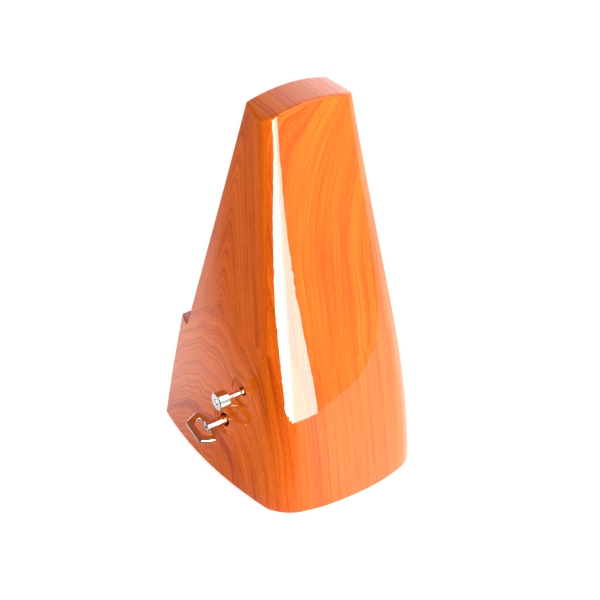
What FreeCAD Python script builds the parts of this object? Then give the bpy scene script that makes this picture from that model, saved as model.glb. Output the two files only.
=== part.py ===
"""Pyramid metronome with a clockwork movement. Millimetres, +Z up, front faces -Y, key on the +X side."""
import FreeCAD, Part
import Sketcher

import math
import os
import re

V = FreeCAD.Vector
X, Y, Z = V(1, 0, 0), V(0, 1, 0), V(0, 0, 1)

SIZES = {
    # case outline: half widths and depths at the foot and at the head
    "height": (218, "case height"),
    "front_foot": (-57.3, "y of the sloping front plane at the foot"),
    "front_head": (-7.77, "y of the sloping front plane at the head"),
    "apron_slope": (6.1, "slope of the lower front, degrees from upright"),
    "half_front": (51.4, "half width at the front, foot"),
    "half_front_head": (22.9, "half width at the front, head"),
    "half_back": (44.05, "half width at the back, foot"),
    "half_back_head": (26.7, "half width at the back, head"),
    "back_foot": (49.0, "y of the back corners, foot"),
    "back_head": (11.1, "y of the back corners, head"),
    "side_bulge": (5.8, "outward bow of each side at the foot"),
    "side_bulge_head": (0.3, "outward bow of each side, head"),
    "back_bulge": (8.76, "outward bow of the back, foot"),
    "back_bulge_head": (1.99, "outward bow of the back, head"),
    "back_power": (2.35, "how far the back's bow gathers near its corners"),
    "corner_side": (8.7, "back corner's reach along the side, foot"),
    "corner_side_head": (5.5, "back corner's reach along the side, head"),
    "corner_rear": (11.3, "back corner's reach along the back, foot"),
    "corner_rear_head": (9.2, "back corner's reach along the back, head"),
    "corner_pull": (0.5, "fullness of the back corners toward the side"),
    "corner_pull_rear": (0.55, "fullness of the back corners toward the back"),
    "swell_front": (1.2, "profile swell of the front half width"),
    "swell_back": (1.68, "profile swell of the back half width"),
    "swell_depth": (4.0, "profile swell of the back depth"),
    "swell_at": (0.287, "height share at which the swell peaks"),
    "head_rise": (5.4, "rise of the domed head"),
    "head_round": (1.8, "rounding of the head's side and back edges"),
    "foot_round": (0.5, "rounding of the foot edges"),
    "wall": (2.2, "case wall"),
    "shell_lift": (0.3, "shell edge above the resting plane"),
    "ledge_up": (69.4, "ledge height up the front slope"),
    "lip_rise": (1.0, "lip above the ledge groove"),
    "groove_round": (1.6, "round between the groove and the upper front"),
    "groove_share": (0.62, "share of the way to the lip at which the groove starts to rise"),
    "groove_rise": (0.1, "rise of the groove at its middle"),
    "rod_slot_half": (7, "half width of the pendulum slot in the ledge"),
    "rod_slot_deep": (4.2, "depth of the pendulum slot"),
    # window and dial
    "rim": (4.6, "rim beside the dial window"),
    "window_low": (74, "window foot up the slope"),
    "window_top": (206, "window head up the slope"),
    "fit_gap": (0.2, "gap round a fitted panel"),
    "dial_recess": (1.0, "dial set back from the front plane"),
    "dial_lap": (1.5, "dial flange beyond the window"),
    "dial_flange": (1.5, "dial flange thickness"),
    "scale_half": (9.5, "half width of the tempo scale"),
    "scale_low": (79, "scale foot up the slope"),
    "scale_top": (192, "scale head up the slope"),
    "scale_thick": (0.4, "scale plate thickness"),
    "catch_up": (199.3, "catch foot up the slope"),
    "catch_half": (5.4, "half width of the catch"),
    "catch_tall": (5, "catch plate height"),
    "catch_pin_up": (1.2, "catch pin above the catch foot"),
    "prong_thick": (0.8, "catch prong thickness"),
    "prong_up": (2.6, "prongs above the catch foot"),
    "prong_tall": (2.4, "prong height"),
    "prong_ahead": (1.0, "prongs ahead of the rod"),
    "pin_head": (1.3, "fixing pin head radius"),
    "pin_head_thick": (0.3, "fixing pin head thickness"),
    "pin_radius": (0.7, "fixing pin shank radius"),
    "pin_inset": (2.5, "scale pins from the ends of the scale"),
    # cover
    "cover_depth": (8.2, "cover depth in front of the case"),
    "cover_wall": (1.5, "cover wall"),
    "cover_gap": (0.3, "gap between cover and case"),
    "rib_count": (24, "grip ribs on each side of the cover"),
    "rib_low": (151.5, "lowest rib up the slope"),
    "rib_pitch": (1.38, "rib pitch"),
    "rib_long": (3.2, "rib length"),
    "rib_thick": (0.55, "rib thickness"),
    "rib_proud": (0.4, "rib height above the cover side"),
    "rib_low_depth": (3.0, "lowest rib ahead of the front plane"),
    "rib_top_depth": (5.6, "top rib ahead of the front plane"),
    # base
    "base_thick": (4.0, "base plate thickness"),
    "base_gap": (0.3, "gap between base plate and shell"),
    "pad_radius": (6, "rubber pad radius"),
    "pad_thick": (1.5, "rubber pad thickness"),
    "pad_side": (31, "front pads from the centre plane"),
    "pad_side_back": (28, "back pads from the centre plane"),
    "pad_front": (-40, "front pads, y"),
    "pad_back": (33, "back pads, y"),
    "boss_radius": (4.2, "screw boss radius"),
    "boss_tall": (13, "screw boss height above the base plate"),
    "boss_inset": (3.6, "front boss centre from the inner walls"),
    "boss_inset_back": (5.2, "back boss centres ahead of the inner back corners"),
    "boss_side_back": (6.63, "back boss centres from the inner sides"),
    # screws
    "screw_radius": (1.4, "screw shank radius"),
    "thread_gap": (0.02, "gap of a fixed fit"),
    "screw_head": (2.7, "screw head radius"),
    "head_tall": (1.5, "screw head height"),
    "screw_long": (9, "base screw shank"),
    "screw_slot": (0.7, "screw slot width and depth"),
    "screw_spare": (1.0, "room past a base screw's end"),
    # pendulum, in the sloping front frame
    "pivot_up": (56, "pendulum pivot up the slope"),
    "rod_front": (2.1, "rod front face ahead of the front plane"),
    "rod_thick": (1.2, "pendulum rod thickness"),
    "rod_wide": (3.5, "pendulum rod width"),
    "rod_top": (198, "pendulum rod tip up the slope"),
    "notch": (0.35, "depth and half height of a tempo notch"),
    "eye_radius": (4.0, "eye radius of rod and arm"),
    "hub_long": (2.1, "spacer between rod and arm"),
    "nut_thick": (0.8, "thickness of the pendulum arbor's head"),
    "nut_radius": (3.0, "radius of the pendulum arbor's head"),
    "pivot_radius": (0.8, "thin journal radius"),
    "key_journal": (1.55, "winding arbor journal toward the key"),
    "arbor_slim": (1.4, "second and cam arbor radius"),
    "escape_radius": (1.0, "escape arbor radius"),
    "cock_start": (11, "left face of the escape cock"),
    "cock_thick": (1.2, "escape cock thickness"),
    "cock_front": (11, "escape cock ahead of the escape axis"),
    "cock_back": (8.3, "escape cock behind the escape axis"),
    "cock_low": (4, "escape cock below the escape axis"),
    "cock_high": (10, "escape cock above the escape axis"),
    "cock_post": (2.2, "escape cock post radius"),
    "cock_post_front": (8, "front post ahead of the escape axis"),
    "cock_post_back": (5.5, "back post behind the escape axis"),
    "cock_post_up": (7.5, "posts above the escape axis"),
    "click_pin": (0.9, "click pin radius"),
    "click_reach": (10.5, "click pin from the winding axis"),
    "click_boss": (1.9, "click radius round its pin"),
    "click_half": (1.2, "half width of the click's arm"),
    "click_heel": (1.7, "inner edge of the click's arm within the pin"),
    "click_nose": (0.55, "click nose from the pin, share of the pin's reach"),
    "click_nose_in": (0.50, "inner corner of the nose, the same share"),
    "click_nose_over": (0.5, "click nose outside the ratchet's tips"),
    "click_nose_under": (1.6, "click nose inside the ratchet's tips"),
    "click_head": (1.7, "click pin head radius"),
    "click_head_thick": (0.8, "click pin head thickness"),
    "arm_low": (16, "lower end of the bob arm up the slope"),
    "arm_wide": (6, "bob arm width"),
    "bob_up": (27, "bob centre up the slope"),
    "bob_radius": (15, "bob radius"),
    "bob_thick": (8.6, "bob thickness"),
    "bob_screw_head": (0.7, "bob screw head thickness"),
    "bob_screw_short": (1.0, "bob screw short of the bob's back"),
    "arbor_radius": (1.5, "pendulum arbor radius"),
    "arbor_step": (0.5, "step down to the slim rear of the pendulum arbor"),
    "arbor_past": (2.0, "thick pendulum arbor past the front bearing"),
    "slim_start": (3.0, "start of the slim part behind the front bearing"),
    "pallet_radius": (9.0, "pallets from the escape axis"),
    "pallet_wide": (1.6, "pallet width along the arbor"),
    "pallet_thick": (0.6, "pallet thickness"),
    "pallet_lap": (0.5, "pallet reach past the crown tooth tips"),
    "front_bearing": (10, "front bearing behind the front plane"),
    "rear_bearing": (40.3, "rear bearing behind the front plane"),
    "bearing_thick": (2.2, "bearing arm thickness"),
    "bearing_half": (3.4, "half height of a bearing arm"),
    "run_gap": (0.05, "radial running clearance"),
    # tempo weight
    "slow_up": (186, "weight centre at the slowest tempo"),
    "fast_up": (86, "weight centre at the fastest tempo"),
    "weight_up": (119, "weight centre as set"),
    "weight_tall": (14, "weight height"),
    "weight_head": (8, "weight half width, head"),
    "weight_foot": (5, "weight half width, foot"),
    "weight_front": (4.6, "weight face ahead of the front plane"),
    "weight_back": (-0.25, "weight back behind the front plane"),
    "slide_gap": (0.08, "sliding clearance"),
    "pocket_inset": (0.5, "spring pocket inside the rod's edges"),
    "pocket_deep": (1.0, "spring pocket depth"),
    "pocket_end": (3.0, "spring pocket from the weight's ends"),
    "spring_thin": (0.3, "weight spring thickness"),
    "spring_gap": (0.2, "gap round the weight spring"),
    # winding
    "key_y": (4.4, "key axis, y"),
    "key_z": (36.8, "key axis, z"),
    "key_end": (60.1, "outer end of the key stem"),
    "stem_radius": (2.35, "key stem radius"),
    "stem_start": (27, "inner end of the key stem"),
    "stem_hole": (1.0, "hole in the stem end"),
    "stem_hole_deep": (4, "depth of the hole in the stem end"),
    "stem_edge": (0.3, "chamfer of the stem end"),
    "key_thread": (12, "winding arbor inside the key stem"),
    "key_hole": (4.0, "case hole round the stem"),
    "bow_start": (56.5, "inner edge of the bow"),
    "bow_end": (68.4, "outer edge of the bow"),
    "bow_half": (10.8, "half width of the bow"),
    "bow_thick": (1.8, "bow thickness"),
    "bow_band": (3.5, "bow band width"),
    "bow_neck": (0.5, "bow half width by the stem, share of the widest"),
    "bow_shoulder": (0.26, "where the bow is widest, share of its length"),
    "bow_crown": (0.68, "bow half width at its outer edge, share of the widest"),
    "bow_corner": (2.4, "rounding of the bow's outline"),
    "bow_corner_in": (1.2, "rounding of the bow's hole"),
    "bow_edge": (0.4, "softening of the bow's edges"),
    "bow_turn": (-13, "turn of the bow about the stem, degrees"),
    # selector
    "knob_y": (16.8, "selector axis, y"),
    "knob_z": (62.4, "selector axis, z"),
    "knob_face": (60.5, "outer face of the knob"),
    "knob_long": (6.2, "knob length"),
    "knob_radius": (4.8, "knob radius"),
    "knob_bore": (1.7, "blind hole in the knob face"),
    "knob_bore_deep": (2.5, "depth of the hole in the knob face"),
    "knob_edge": (0.35, "chamfer of the knob's edges"),
    "knob_socket": (2.6, "selector rod inside the knob"),
    "collar_radius": (2.6, "rod collar radius"),
    "collar_wide": (1.0, "rod collar width"),
    "end_gap": (0.1, "end gap beside collars, washers and heads"),
    "rod_radius": (1.5, "selector rod radius"),
    "rod_start": (-35, "inner end of the selector rod"),
    "knob_hole": (2.6, "case hole round the selector rod"),
    "dish_radius": (8.0, "shallow dish round each hole"),
    "dish_step": (1.8, "width of the step in the key's dish"),
    "dish_deep": (0.8, "dish depth"),
    # movement
    "plate_in": (21, "inner face of each movement plate"),
    "plate_thick": (1.5, "movement plate thickness"),
    "plate_front": (-36, "plate front edge"),
    "plate_back": (41, "plate back edge"),
    "plate_top": (67, "plate top edge"),
    "plate_cut_front": (8, "front corner cut of the plates, along the top"),
    "plate_cut_front_down": (9, "front corner cut of the plates, down the edge"),
    "plate_cut_back": (11, "back corner cut of the plates, along the top"),
    "plate_cut_back_down": (20, "back corner cut of the plates, down the edge"),
    "plate_screw": (5, "plate screw shank"),
    "tap_deep": (6, "tapped depth in pillars and posts"),
    "journal_past": (0.4, "journal ends past the plates"),
    "end_shake": (0.2, "end play at each shoulder"),
    "pillar_radius": (2.5, "pillar radius"),
    "pillar_inset": (5, "low pillars from the plate edges"),
    "pillar_low": (6, "low pillars above the base plate"),
    "pillar_front_in": (16, "top front pillar behind the plate's front edge"),
    "pillar_front_down": (4.6, "top front pillar below the plate's top"),
    "pillar_back_in": (11, "top back pillar ahead of the plate's back edge"),
    "pillar_back_down": (8.5, "top back pillar below the plate's top"),
    "bracket_front": (-20, "front brackets, y"),
    "bracket_back": (22, "back brackets, y"),
    "bracket_thick": (1.2, "bracket sheet thickness"),
    "bracket_half": (4.0, "half width of a bracket"),
    "bracket_foot": (8.5, "bracket foot length"),
    "bracket_tall": (10, "bracket wing height"),
    "bracket_reach": (4.5, "bracket foot screws beside the plates"),
    "bracket_up": (6, "bracket wing screws above the base plate"),
    "bracket_screw": (3.8, "screw shank through a bracket foot"),
    "bracket_screw_side": (2.7, "screw shank through a bracket wing"),
    "bracket_tap": (3, "depth of the bracket screw holes in the base plate"),
    "module_great": (0.5, "tooth module, great wheel mesh"),
    "module_second": (0.4, "tooth module, second wheel mesh"),
    "great_teeth": (72, "great wheel teeth"),
    "pinion_teeth": (12, "second pinion teeth"),
    "second_teeth": (60, "second wheel teeth"),
    "escape_leaves": (10, "escape pinion leaves"),
    "cam_teeth": (18, "cam wheel teeth"),
    "mesh_gap": (0.06, "extra centre distance in mesh"),
    "wheel_thick": (1.6, "wheel thickness"),
    "great_start": (-5, "left face of the great wheel"),
    "second_start": (15, "left face of the second wheel"),
    "pinion_past": (1.5, "pinion teeth past the wheel on each side"),
    "great_hole": (3.2, "hole radius, great wheel"),
    "great_hole_at": (11, "hole circle radius, great wheel"),
    "second_hole": (2.8, "hole radius, second wheel"),
    "second_hole_at": (7, "hole circle radius, second wheel"),
    "washer_radius": (5.0, "great wheel washer radius"),
    "washer_thick": (0.8, "great wheel washer thickness"),
    "barrel_radius": (3.0, "main arbor radius"),
    "escape_back": (28.6, "escape axis behind the front plane, along the pendulum arbor"),
    "crown_radius": (9.6, "crown wheel outer radius"),
    "crown_tips": (3.0, "crown tooth tips from the centre plane"),
    "crown_end": (9.2, "crown wheel web face"),
    "crown_teeth": (15, "crown wheel teeth"),
    "crown_rim": (1.2, "crown wheel rim thickness"),
    "crown_tooth": (2.4, "crown tooth depth"),
    "crown_hub": (2.0, "crown wheel hub radius"),
    "crown_hub_long": (3.0, "crown wheel hub length with the web"),
    "crown_seat": (2, "escape arbor inside the crown wheel"),
    "ratchet_teeth": (20, "ratchet teeth"),
    "ratchet_radius": (6.6, "ratchet tip radius"),
    "ratchet_deep": (1.1, "ratchet tooth depth"),
    "ratchet_gap": (0.2, "gap between ratchet and great wheel"),
    "spring_radius": (14.3, "mainspring outer radius"),
    "spring_start": (-19.5, "left edge of the mainspring"),
    "spring_wide": (11, "mainspring width"),
    "spring_strip": (0.5, "mainspring strip thickness"),
    "spring_turns": (7, "mainspring turns"),
    "spring_inner": (0.5, "first turn outside the arbor"),
    "post_radius": (1.6, "spring post radius"),
    "post_out": (2.0, "spring post centre outside the mainspring"),
    "post_past": (0.5, "spring post past the mainspring"),
    "cam_angle": (45, "cam arbor seen from the main arbor, degrees"),
    "cam_radius": (4.2, "cam lobe radius"),
    "cam_step": (3, "pitch of the cams and of the selector"),
    "cam_first": (5, "first cam, x"),
    "cam_gap": (1.0, "gap between cams"),
    "cam_lift": (0.8, "lobe height over the cam's round"),
    "lobe_wide": (1.0, "lobe width"),
    "sleeve_wall": (0.8, "cam round over the sleeve"),
    "sleeve_past": (1.5, "cam sleeve past the end cams"),
    "finger_gap": (0.3, "follower clearance over the lobes"),
    "bell_y": (33, "bell axis, y"),
    "bell_z": (27, "bell axis, z"),
    "bell_radius": (13, "bell radius"),
    "bell_start": (-16, "crown of the bell"),
    "bell_end": (-6, "mouth of the bell"),
    "bell_wall": (0.9, "bell wall"),
    "bell_crown": (0.35, "crown radius, share of the mouth"),
    "bell_shoulder": (0.72, "shoulder radius, share of the mouth"),
    "bell_waist": (0.93, "waist radius, share of the mouth"),
    "bell_shoulder_deep": (1.2, "shoulder below the crown"),
    "bell_waist_deep": (3.4, "waist below the crown"),
    "bell_lip": (1.0, "bell lip width"),
    "bell_flare": (0.2, "bell lip flare"),
    "bell_post": (2.8, "bell post radius"),
    "bell_thread": (3, "bell post thread past the crown"),
    "bell_nut": (2.8, "bell nut corner radius"),
    "bell_nut_tall": (1.8, "bell nut height"),
    "head_radius": (2.2, "hammer head radius"),
    "strike_gap": (0.4, "hammer head above the bell"),
    "head_end": (14.5, "hammer head end past the arm"),
    "hammer_pin": (0.8, "hammer head pin radius"),
    "hammer_pin_past": (0.6, "hammer head pin past the arm"),
    "hammer_eye": (1.0, "hammer arm end radius"),
    "hammer_arm_at": (-15.4, "hammer arm, x"),
    "hammer_thick": (1.2, "hammer arm thickness"),
    "hammer_wide": (2.2, "hammer arm width"),
    "hammer_hub": (2.8, "hammer hub radius"),
    "hub_left": (1.2, "hammer hub past its arm"),
    "hub_right": (1.0, "hammer hub past its follower"),
    "follower_wide": (2.0, "follower arm width"),
    "follower_low": (1.5, "follower tip below the cam axis"),
}

# slope of the upper front, degrees from upright
FRONT_SLOPE = "atan((front_head - front_foot) / height)"
# more than any side of the case, for the blocks that cut it
ROOM = 300.0
CLEAR = 5.0
SLOWEST, FASTEST = 40, 208
# points along each stretch of the case outline: side, corner and half of the back
CURVE_STEPS = 9

doc = FreeCAD.newDocument("Metronome")
sheet = doc.addObject("Spreadsheet::Sheet", "Sheet")
for row, (alias, (amount, meaning)) in enumerate(SIZES.items(), 1):
    sheet.set(f"A{row}", str(amount))
    sheet.setAlias(f"A{row}", alias)
    sheet.set(f"B{row}", meaning)
doc.recompute()
nodes = []


def cell(text):
    """An expression text with each size name pointed at its sheet cell."""
    return re.sub(r"[a-z]+(?:_[a-z]+)*", lambda m: f"Sheet.{m[0]}" if m[0] in SIZES else m[0], str(text))


def size(text):
    """The number that an expression of sizes gives."""
    result = sheet.evalExpression(cell(text))
    return float(getattr(result, "Value", result))


def named(obj, label, sloping=False):
    """Register a finished sub-part; a sloping one is carried in the front frame."""
    if sloping:
        obj.Placement = front_frame()
        obj.setExpression(".Placement.Base.y", cell("front_foot"))
        obj.setExpression(".Placement.Rotation.Angle", cell(FRONT_SLOPE))
    obj.Label = label
    nodes.append(obj)
    return obj


def front_frame():
    """Frame of the sloping front: z up the slope, y into the case, origin on the resting plane."""
    return FreeCAD.Placement(V(0, size("front_foot"), 0), FreeCAD.Rotation(-X, size(FRONT_SLOPE)))


TURNS = {"Z": FreeCAD.Rotation(), "X": FreeCAD.Rotation(Y, 90), "Y": FreeCAD.Rotation(X, -90)}


def put(obj, place, axis="Z"):
    """Bind an object's position to three expressions and turn its own Z onto an axis."""
    obj.Placement = FreeCAD.Placement(V(*[size(p) for p in place]), TURNS[axis])
    for letter, text in zip("xyz", place):
        obj.setExpression(f".Placement.Base.{letter}", cell(text))
    return obj


def primitive(kind, place, axis="Z", **bound):
    obj = doc.addObject(f"Part::{kind}", kind)
    for prop, text in bound.items():
        obj.setExpression(prop, cell(text))
    return put(obj, place, axis)


def rod(radius, length, place, axis="X"):
    return primitive("Cylinder", place, axis, Radius=radius, Height=length)


def box(place, sizes):
    return primitive("Box", place, Length=sizes[0], Width=sizes[1], Height=sizes[2])


def fuse(*shapes):
    obj = doc.addObject("Part::MultiFuse", "Fuse")
    obj.Shapes = list(shapes)
    return obj


def group(*shapes):
    obj = doc.addObject("Part::Compound", "Group")
    obj.Links = list(shapes)
    return obj


def cut(base, *tools):
    obj = doc.addObject("Part::Cut", "Cut")
    obj.Base = base
    obj.Tool = tools[0] if len(tools) == 1 else fuse(*tools)
    return obj


def feature(label, shape, placement=FreeCAD.Placement()):
    obj = doc.addObject("Part::Feature", label)
    obj.Shape = shape
    obj.Placement = placement
    obj.Label = label
    nodes.append(obj)
    return obj


def plane_of(body, role):
    return next(f for f in body.Origin.OriginFeatures if f.Role == role)


def draw(body, plane, outlines, circles=()):
    """A sketch of closed outlines and circles, every point and radius bound to the sheet."""
    sketch = body.newObject("Sketcher::SketchObject", "Sketch")
    sketch.AttachmentSupport = (plane_of(body, plane), [""])
    sketch.MapMode = "FlatFace"
    for outline in outlines:
        spots = [V(size(a), size(b), 0) for a, b in outline]
        first = sketch.GeometryCount
        for start, end in zip(spots, spots[1:] + spots[:1]):
            sketch.addGeometry(Part.LineSegment(start, end))
        for n, (a, b) in enumerate(outline):
            here, after = first + n, first + (n + 1) % len(outline)
            sketch.addConstraint(Sketcher.Constraint("Coincident", here, 2, after, 1))
            fix_point(sketch, here, 1, a, b)
    for a, b, radius in circles:
        n = sketch.addGeometry(Part.Circle(V(size(a), size(b), 0), Z, size(radius)))
        fix_point(sketch, n, 3, a, b)
        rule = sketch.addConstraint(Sketcher.Constraint("Radius", n, size(radius)))
        sketch.setExpression(f"Constraints[{rule}]", cell(radius))
    return sketch


def fix_point(sketch, edge, end, a, b):
    for kind, text in (("DistanceX", a), ("DistanceY", b)):
        rule = sketch.addConstraint(Sketcher.Constraint(kind, -1, 1, edge, end, size(text)))
        sketch.setExpression(f"Constraints[{rule}]", cell(text))


def slab(plane, outlines, thick, place, circles=(), axis="Z"):
    """A plate padded from a bound sketch."""
    body = doc.addObject("PartDesign::Body", "Body")
    sketch = draw(body, plane, outlines, circles)
    pad = body.newObject("PartDesign::Pad", "Pad")
    pad.Profile = sketch
    pad.setExpression("Length", cell(thick))
    body.Tip = pad
    return put(body, place, axis)


def turned(profile, place, axis="X"):
    """A piece turned about its own X axis from (along, radius) points, then laid along an axis."""
    body = doc.addObject("PartDesign::Body", "Turned")
    sketch = draw(body, "XY_Plane", [profile])
    spin = body.newObject("PartDesign::Revolution", "Revolution")
    spin.Profile = sketch
    spin.ReferenceAxis = (sketch, ["H_Axis"])
    spin.Angle = 360
    body.Tip = spin
    body.Placement = FreeCAD.Placement(V(*[size(p) for p in place]), ALONG[axis])
    for letter, text in zip("xyz", place):
        body.setExpression(f".Placement.Base.{letter}", cell(text))
    return body


ALONG = {"X": FreeCAD.Rotation(), "Z": FreeCAD.Rotation(Y, -90), "Y": FreeCAD.Rotation(Z, 90)}


# ---- case outline ----------------------------------------------------------------------------

class Outline:
    """The level outline of the case at one height, inset by a wall."""

    def __init__(self, z, inset=0.0):
        self.z = z
        self.share = min(max(z / size("height"), 0.0), 1.0)
        self.front = self.between("half_front", "half_front_head") + self.swelled("swell_front") - inset
        self.back = self.between("half_back", "half_back_head") + self.swelled("swell_back") - inset
        self.deep = self.between("back_foot", "back_head") + self.swelled("swell_depth") - inset
        self.bow = self.between("side_bulge", "side_bulge_head")
        self.back_bow = self.between("back_bulge", "back_bulge_head")
        self.corner_side = self.between("corner_side", "corner_side_head")
        self.corner_rear = self.between("corner_rear", "corner_rear_head")
        self.plane = self.between("front_foot", "front_head")
        self.apron = size("front_foot") + z * math.tan(math.radians(size("apron_slope"))) + inset

    def between(self, foot, head):
        """A size at this height, going straight from the foot to the head."""
        return size(foot) + (size(head) - size(foot)) * self.share

    def swelled(self, most):
        """How far the profile bows out at this height."""
        peak = size("swell_at")
        power = (1 - peak) / peak
        return size(most) * self.share * (1 - self.share) ** power / (peak * (1 - peak) ** power)

    def side(self, y):
        """Half width at a depth."""
        u = (y - self.plane) / (self.deep - self.plane)
        return self.front + (self.back - self.front) * u + 4 * self.bow * u * (1 - u)

    def rear(self, x):
        return self.deep + self.back_bow * (1 - abs(x / self.back) ** size("back_power"))

    def half_points(self):
        """Points from the middle of the front round the right side to the middle of the back."""
        end, edge = self.deep - self.corner_side, self.back - self.corner_rear
        shares = [n / CURVE_STEPS for n in range(CURVE_STEPS)]
        points = [self.spot(self.side(y), y) for y in (self.apron + (end - self.apron) * t for t in shares)]
        start, finish = self.spot(self.side(end), end), self.spot(edge, self.rear(edge))
        tiny = size("thread_gap")
        along_side = self.spot(self.side(end + tiny), end + tiny) - start
        along_back = self.spot(edge + tiny, self.rear(edge + tiny)) - finish
        gap = finish - start
        cross = along_side.x * along_back.y - along_side.y * along_back.x
        tip = start + along_side * ((gap.x * along_back.y - gap.y * along_back.x) / cross)
        one = start + (tip - start) * size("corner_pull")
        two = finish + (tip - finish) * size("corner_pull_rear")
        points += [start * (1 - t) ** 3 + one * 3 * t * (1 - t) ** 2
                   + two * 3 * t ** 2 * (1 - t) + finish * t ** 3 for t in shares]
        return points + [self.spot(x, self.rear(x)) for x in (edge * (1 - t) for t in shares)]

    def spot(self, x, y):
        return V(x, y, self.z)

    def wire(self, knots):
        """The closed outline: one smooth curve round the sides and back, and the straight front."""
        half = self.half_points()
        points = half + [self.spot(0, self.rear(0))] + [V(-p.x, p.y, p.z) for p in reversed(half)]
        curve = Part.BSplineCurve()
        curve.interpolate(Points=points, Parameters=knots)
        front = Part.LineSegment(points[-1], points[0])
        return Part.Wire([curve.toShape(), front.toShape()])


def curve_knots():
    """Curve parameters shared by every outline, spaced as the points are at half height."""
    half = Outline(size("height") / 2).half_points()
    points = half + [V(0, Outline(size("height") / 2).rear(0), half[0].z)]
    lengths = [0.0]
    for one, two in zip(points, points[1:]):
        lengths.append(lengths[-1] + (two - one).Length)
    total = 2 * lengths[-1]
    return [run / total for run in lengths] + [1 - run / total for run in reversed(lengths[:-1])]


def envelope(inset=0.0, low=0.0):
    """The full case outline lofted from the foot to the head."""
    shares = (0, 0.14, 0.29, 0.48, 0.72, 1.0)
    knots = curve_knots()
    heights = [low + (size("height") - low) * share for share in shares]
    return Part.makeLoft([Outline(z, inset).wire(knots) for z in heights], True, False)


def under_head(inset=0.0):
    """Everything below the domed head."""
    half = size("half_back_head")
    rise = size("head_rise")
    radius = (half ** 2 + rise ** 2) / (2 * rise)
    centre = size("height") - radius
    dome = Part.makeCylinder(radius - inset, ROOM)
    dome.Placement = FreeCAD.Placement(V(0, -ROOM / 2, centre), FreeCAD.Rotation(-Z, -X, Y, "ZXY"))
    return dome.fuse(Part.makeBox(ROOM, ROOM, centre + ROOM, V(-ROOM / 2, -ROOM / 2, -ROOM)))


def whole_form():
    """The case and its cover as one solid, the head's edges rounded."""
    form = envelope(0.0, size("shell_lift")).common(under_head())
    low, front = size("height - head_rise") - size("head_round"), size("front_head")
    rims = [e for e in form.Edges
            if e.BoundBox.ZMin > low and e.BoundBox.YMax > front and e.BoundBox.XLength > size("thread_gap")]
    return form.makeFillet(size("head_round"), rims)


def prism(points):
    """A prism along X from (y, z) points of the front frame."""
    spots = [V(-ROOM / 2, y, z) for y, z in points]
    face = Part.Face(Part.makePolygon(spots + spots[:1]))
    return placed(face.extrude(V(ROOM, 0, 0)))


def placed(shape):
    shape.Placement = front_frame()
    return shape


def ledge_cut():
    """The space in front of the upper case: above the ledge, ahead of the front plane."""
    level, lip, turn = size("ledge_up"), size("ledge_up + lip_rise"), size("groove_round")
    lip_at = -size("cover_depth + fit_gap")
    round_mid = turn * (1 - math.sqrt(0.5))
    corners = [(0, ROOM), (0, level + turn), (-turn, level), (lip_at, lip), (-ROOM, lip), (-ROOM, ROOM)]
    spots = [V(-ROOM / 2, y, z) for y, z in corners]
    groove = V(-ROOM / 2, lip_at * size("groove_share"), level + size("groove_rise"))
    edges = [Part.LineSegment(spots[0], spots[1]),
             Part.Arc(spots[1], V(-ROOM / 2, -round_mid, level + round_mid), spots[2]),
             Part.Arc(spots[2], groove, spots[3])]
    edges += [Part.LineSegment(one, two) for one, two in zip(spots[3:], spots[4:] + spots[:1])]
    face = Part.Face(Part.Wire([e.toShape() for e in edges]))
    return placed(face.extrude(V(ROOM, 0, 0)))


def window_points(grow=0.0):
    """The dial window as (x, z) corners in the front frame, grown by a lap."""
    low, top = size("window_low") - grow, size("window_top") + grow
    upright = math.cos(math.radians(size(FRONT_SLOPE)))
    foot, head = (Outline(up * upright).front - size("rim") + grow for up in (low, top))
    return [(-foot, low), (foot, low), (head, top), (-head, top)]


def front_plate(points, near, far):
    """A flat plate in the front frame from (x, z) corners, between two depths."""
    spots = [V(x, near, z) for x, z in points]
    return Part.Face(Part.makePolygon(spots + spots[:1])).extrude(V(0, far - near, 0))


def surface_at(y, z):
    """The point on the right side at a depth and a height, and the outward direction there."""
    step = 0.5
    here = Outline(z)
    slope_y = (here.side(y + step) - here.side(y - step)) / (2 * step)
    slope_z = (Outline(z + step).side(y) - Outline(z - step).side(y)) / (2 * step)
    return V(here.side(y), y, z), V(1, -slope_y, -slope_z).normalize()


def dish(y, z, radius, deep):
    """A shallow round dish sunk square to the right side."""
    spot, out = surface_at(y, z)
    return Part.makeCylinder(radius, 2 * radius, spot - out * deep, out)


def boss_spots():
    """Screw positions in the four corners of the base."""
    foot = Outline(size("base_thick"), size("wall"))
    front = (foot.side(foot.apron) - size("boss_inset"), foot.apron + size("boss_inset"))
    deep = foot.deep - size("boss_inset_back")
    back = (foot.side(deep) - size("boss_side_back"), deep)
    return [(side * x, y) for x, y in (front, back) for side in (-1, 1)]


def outer_case():
    """The case as one solid block: the form below the ledge and behind the front plane."""
    block = whole_form().cut(ledge_cut())
    foot = size("shell_lift + thread_gap")
    return block.makeFillet(size("foot_round"), [e for e in block.Edges if e.BoundBox.ZMax < foot])


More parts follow.
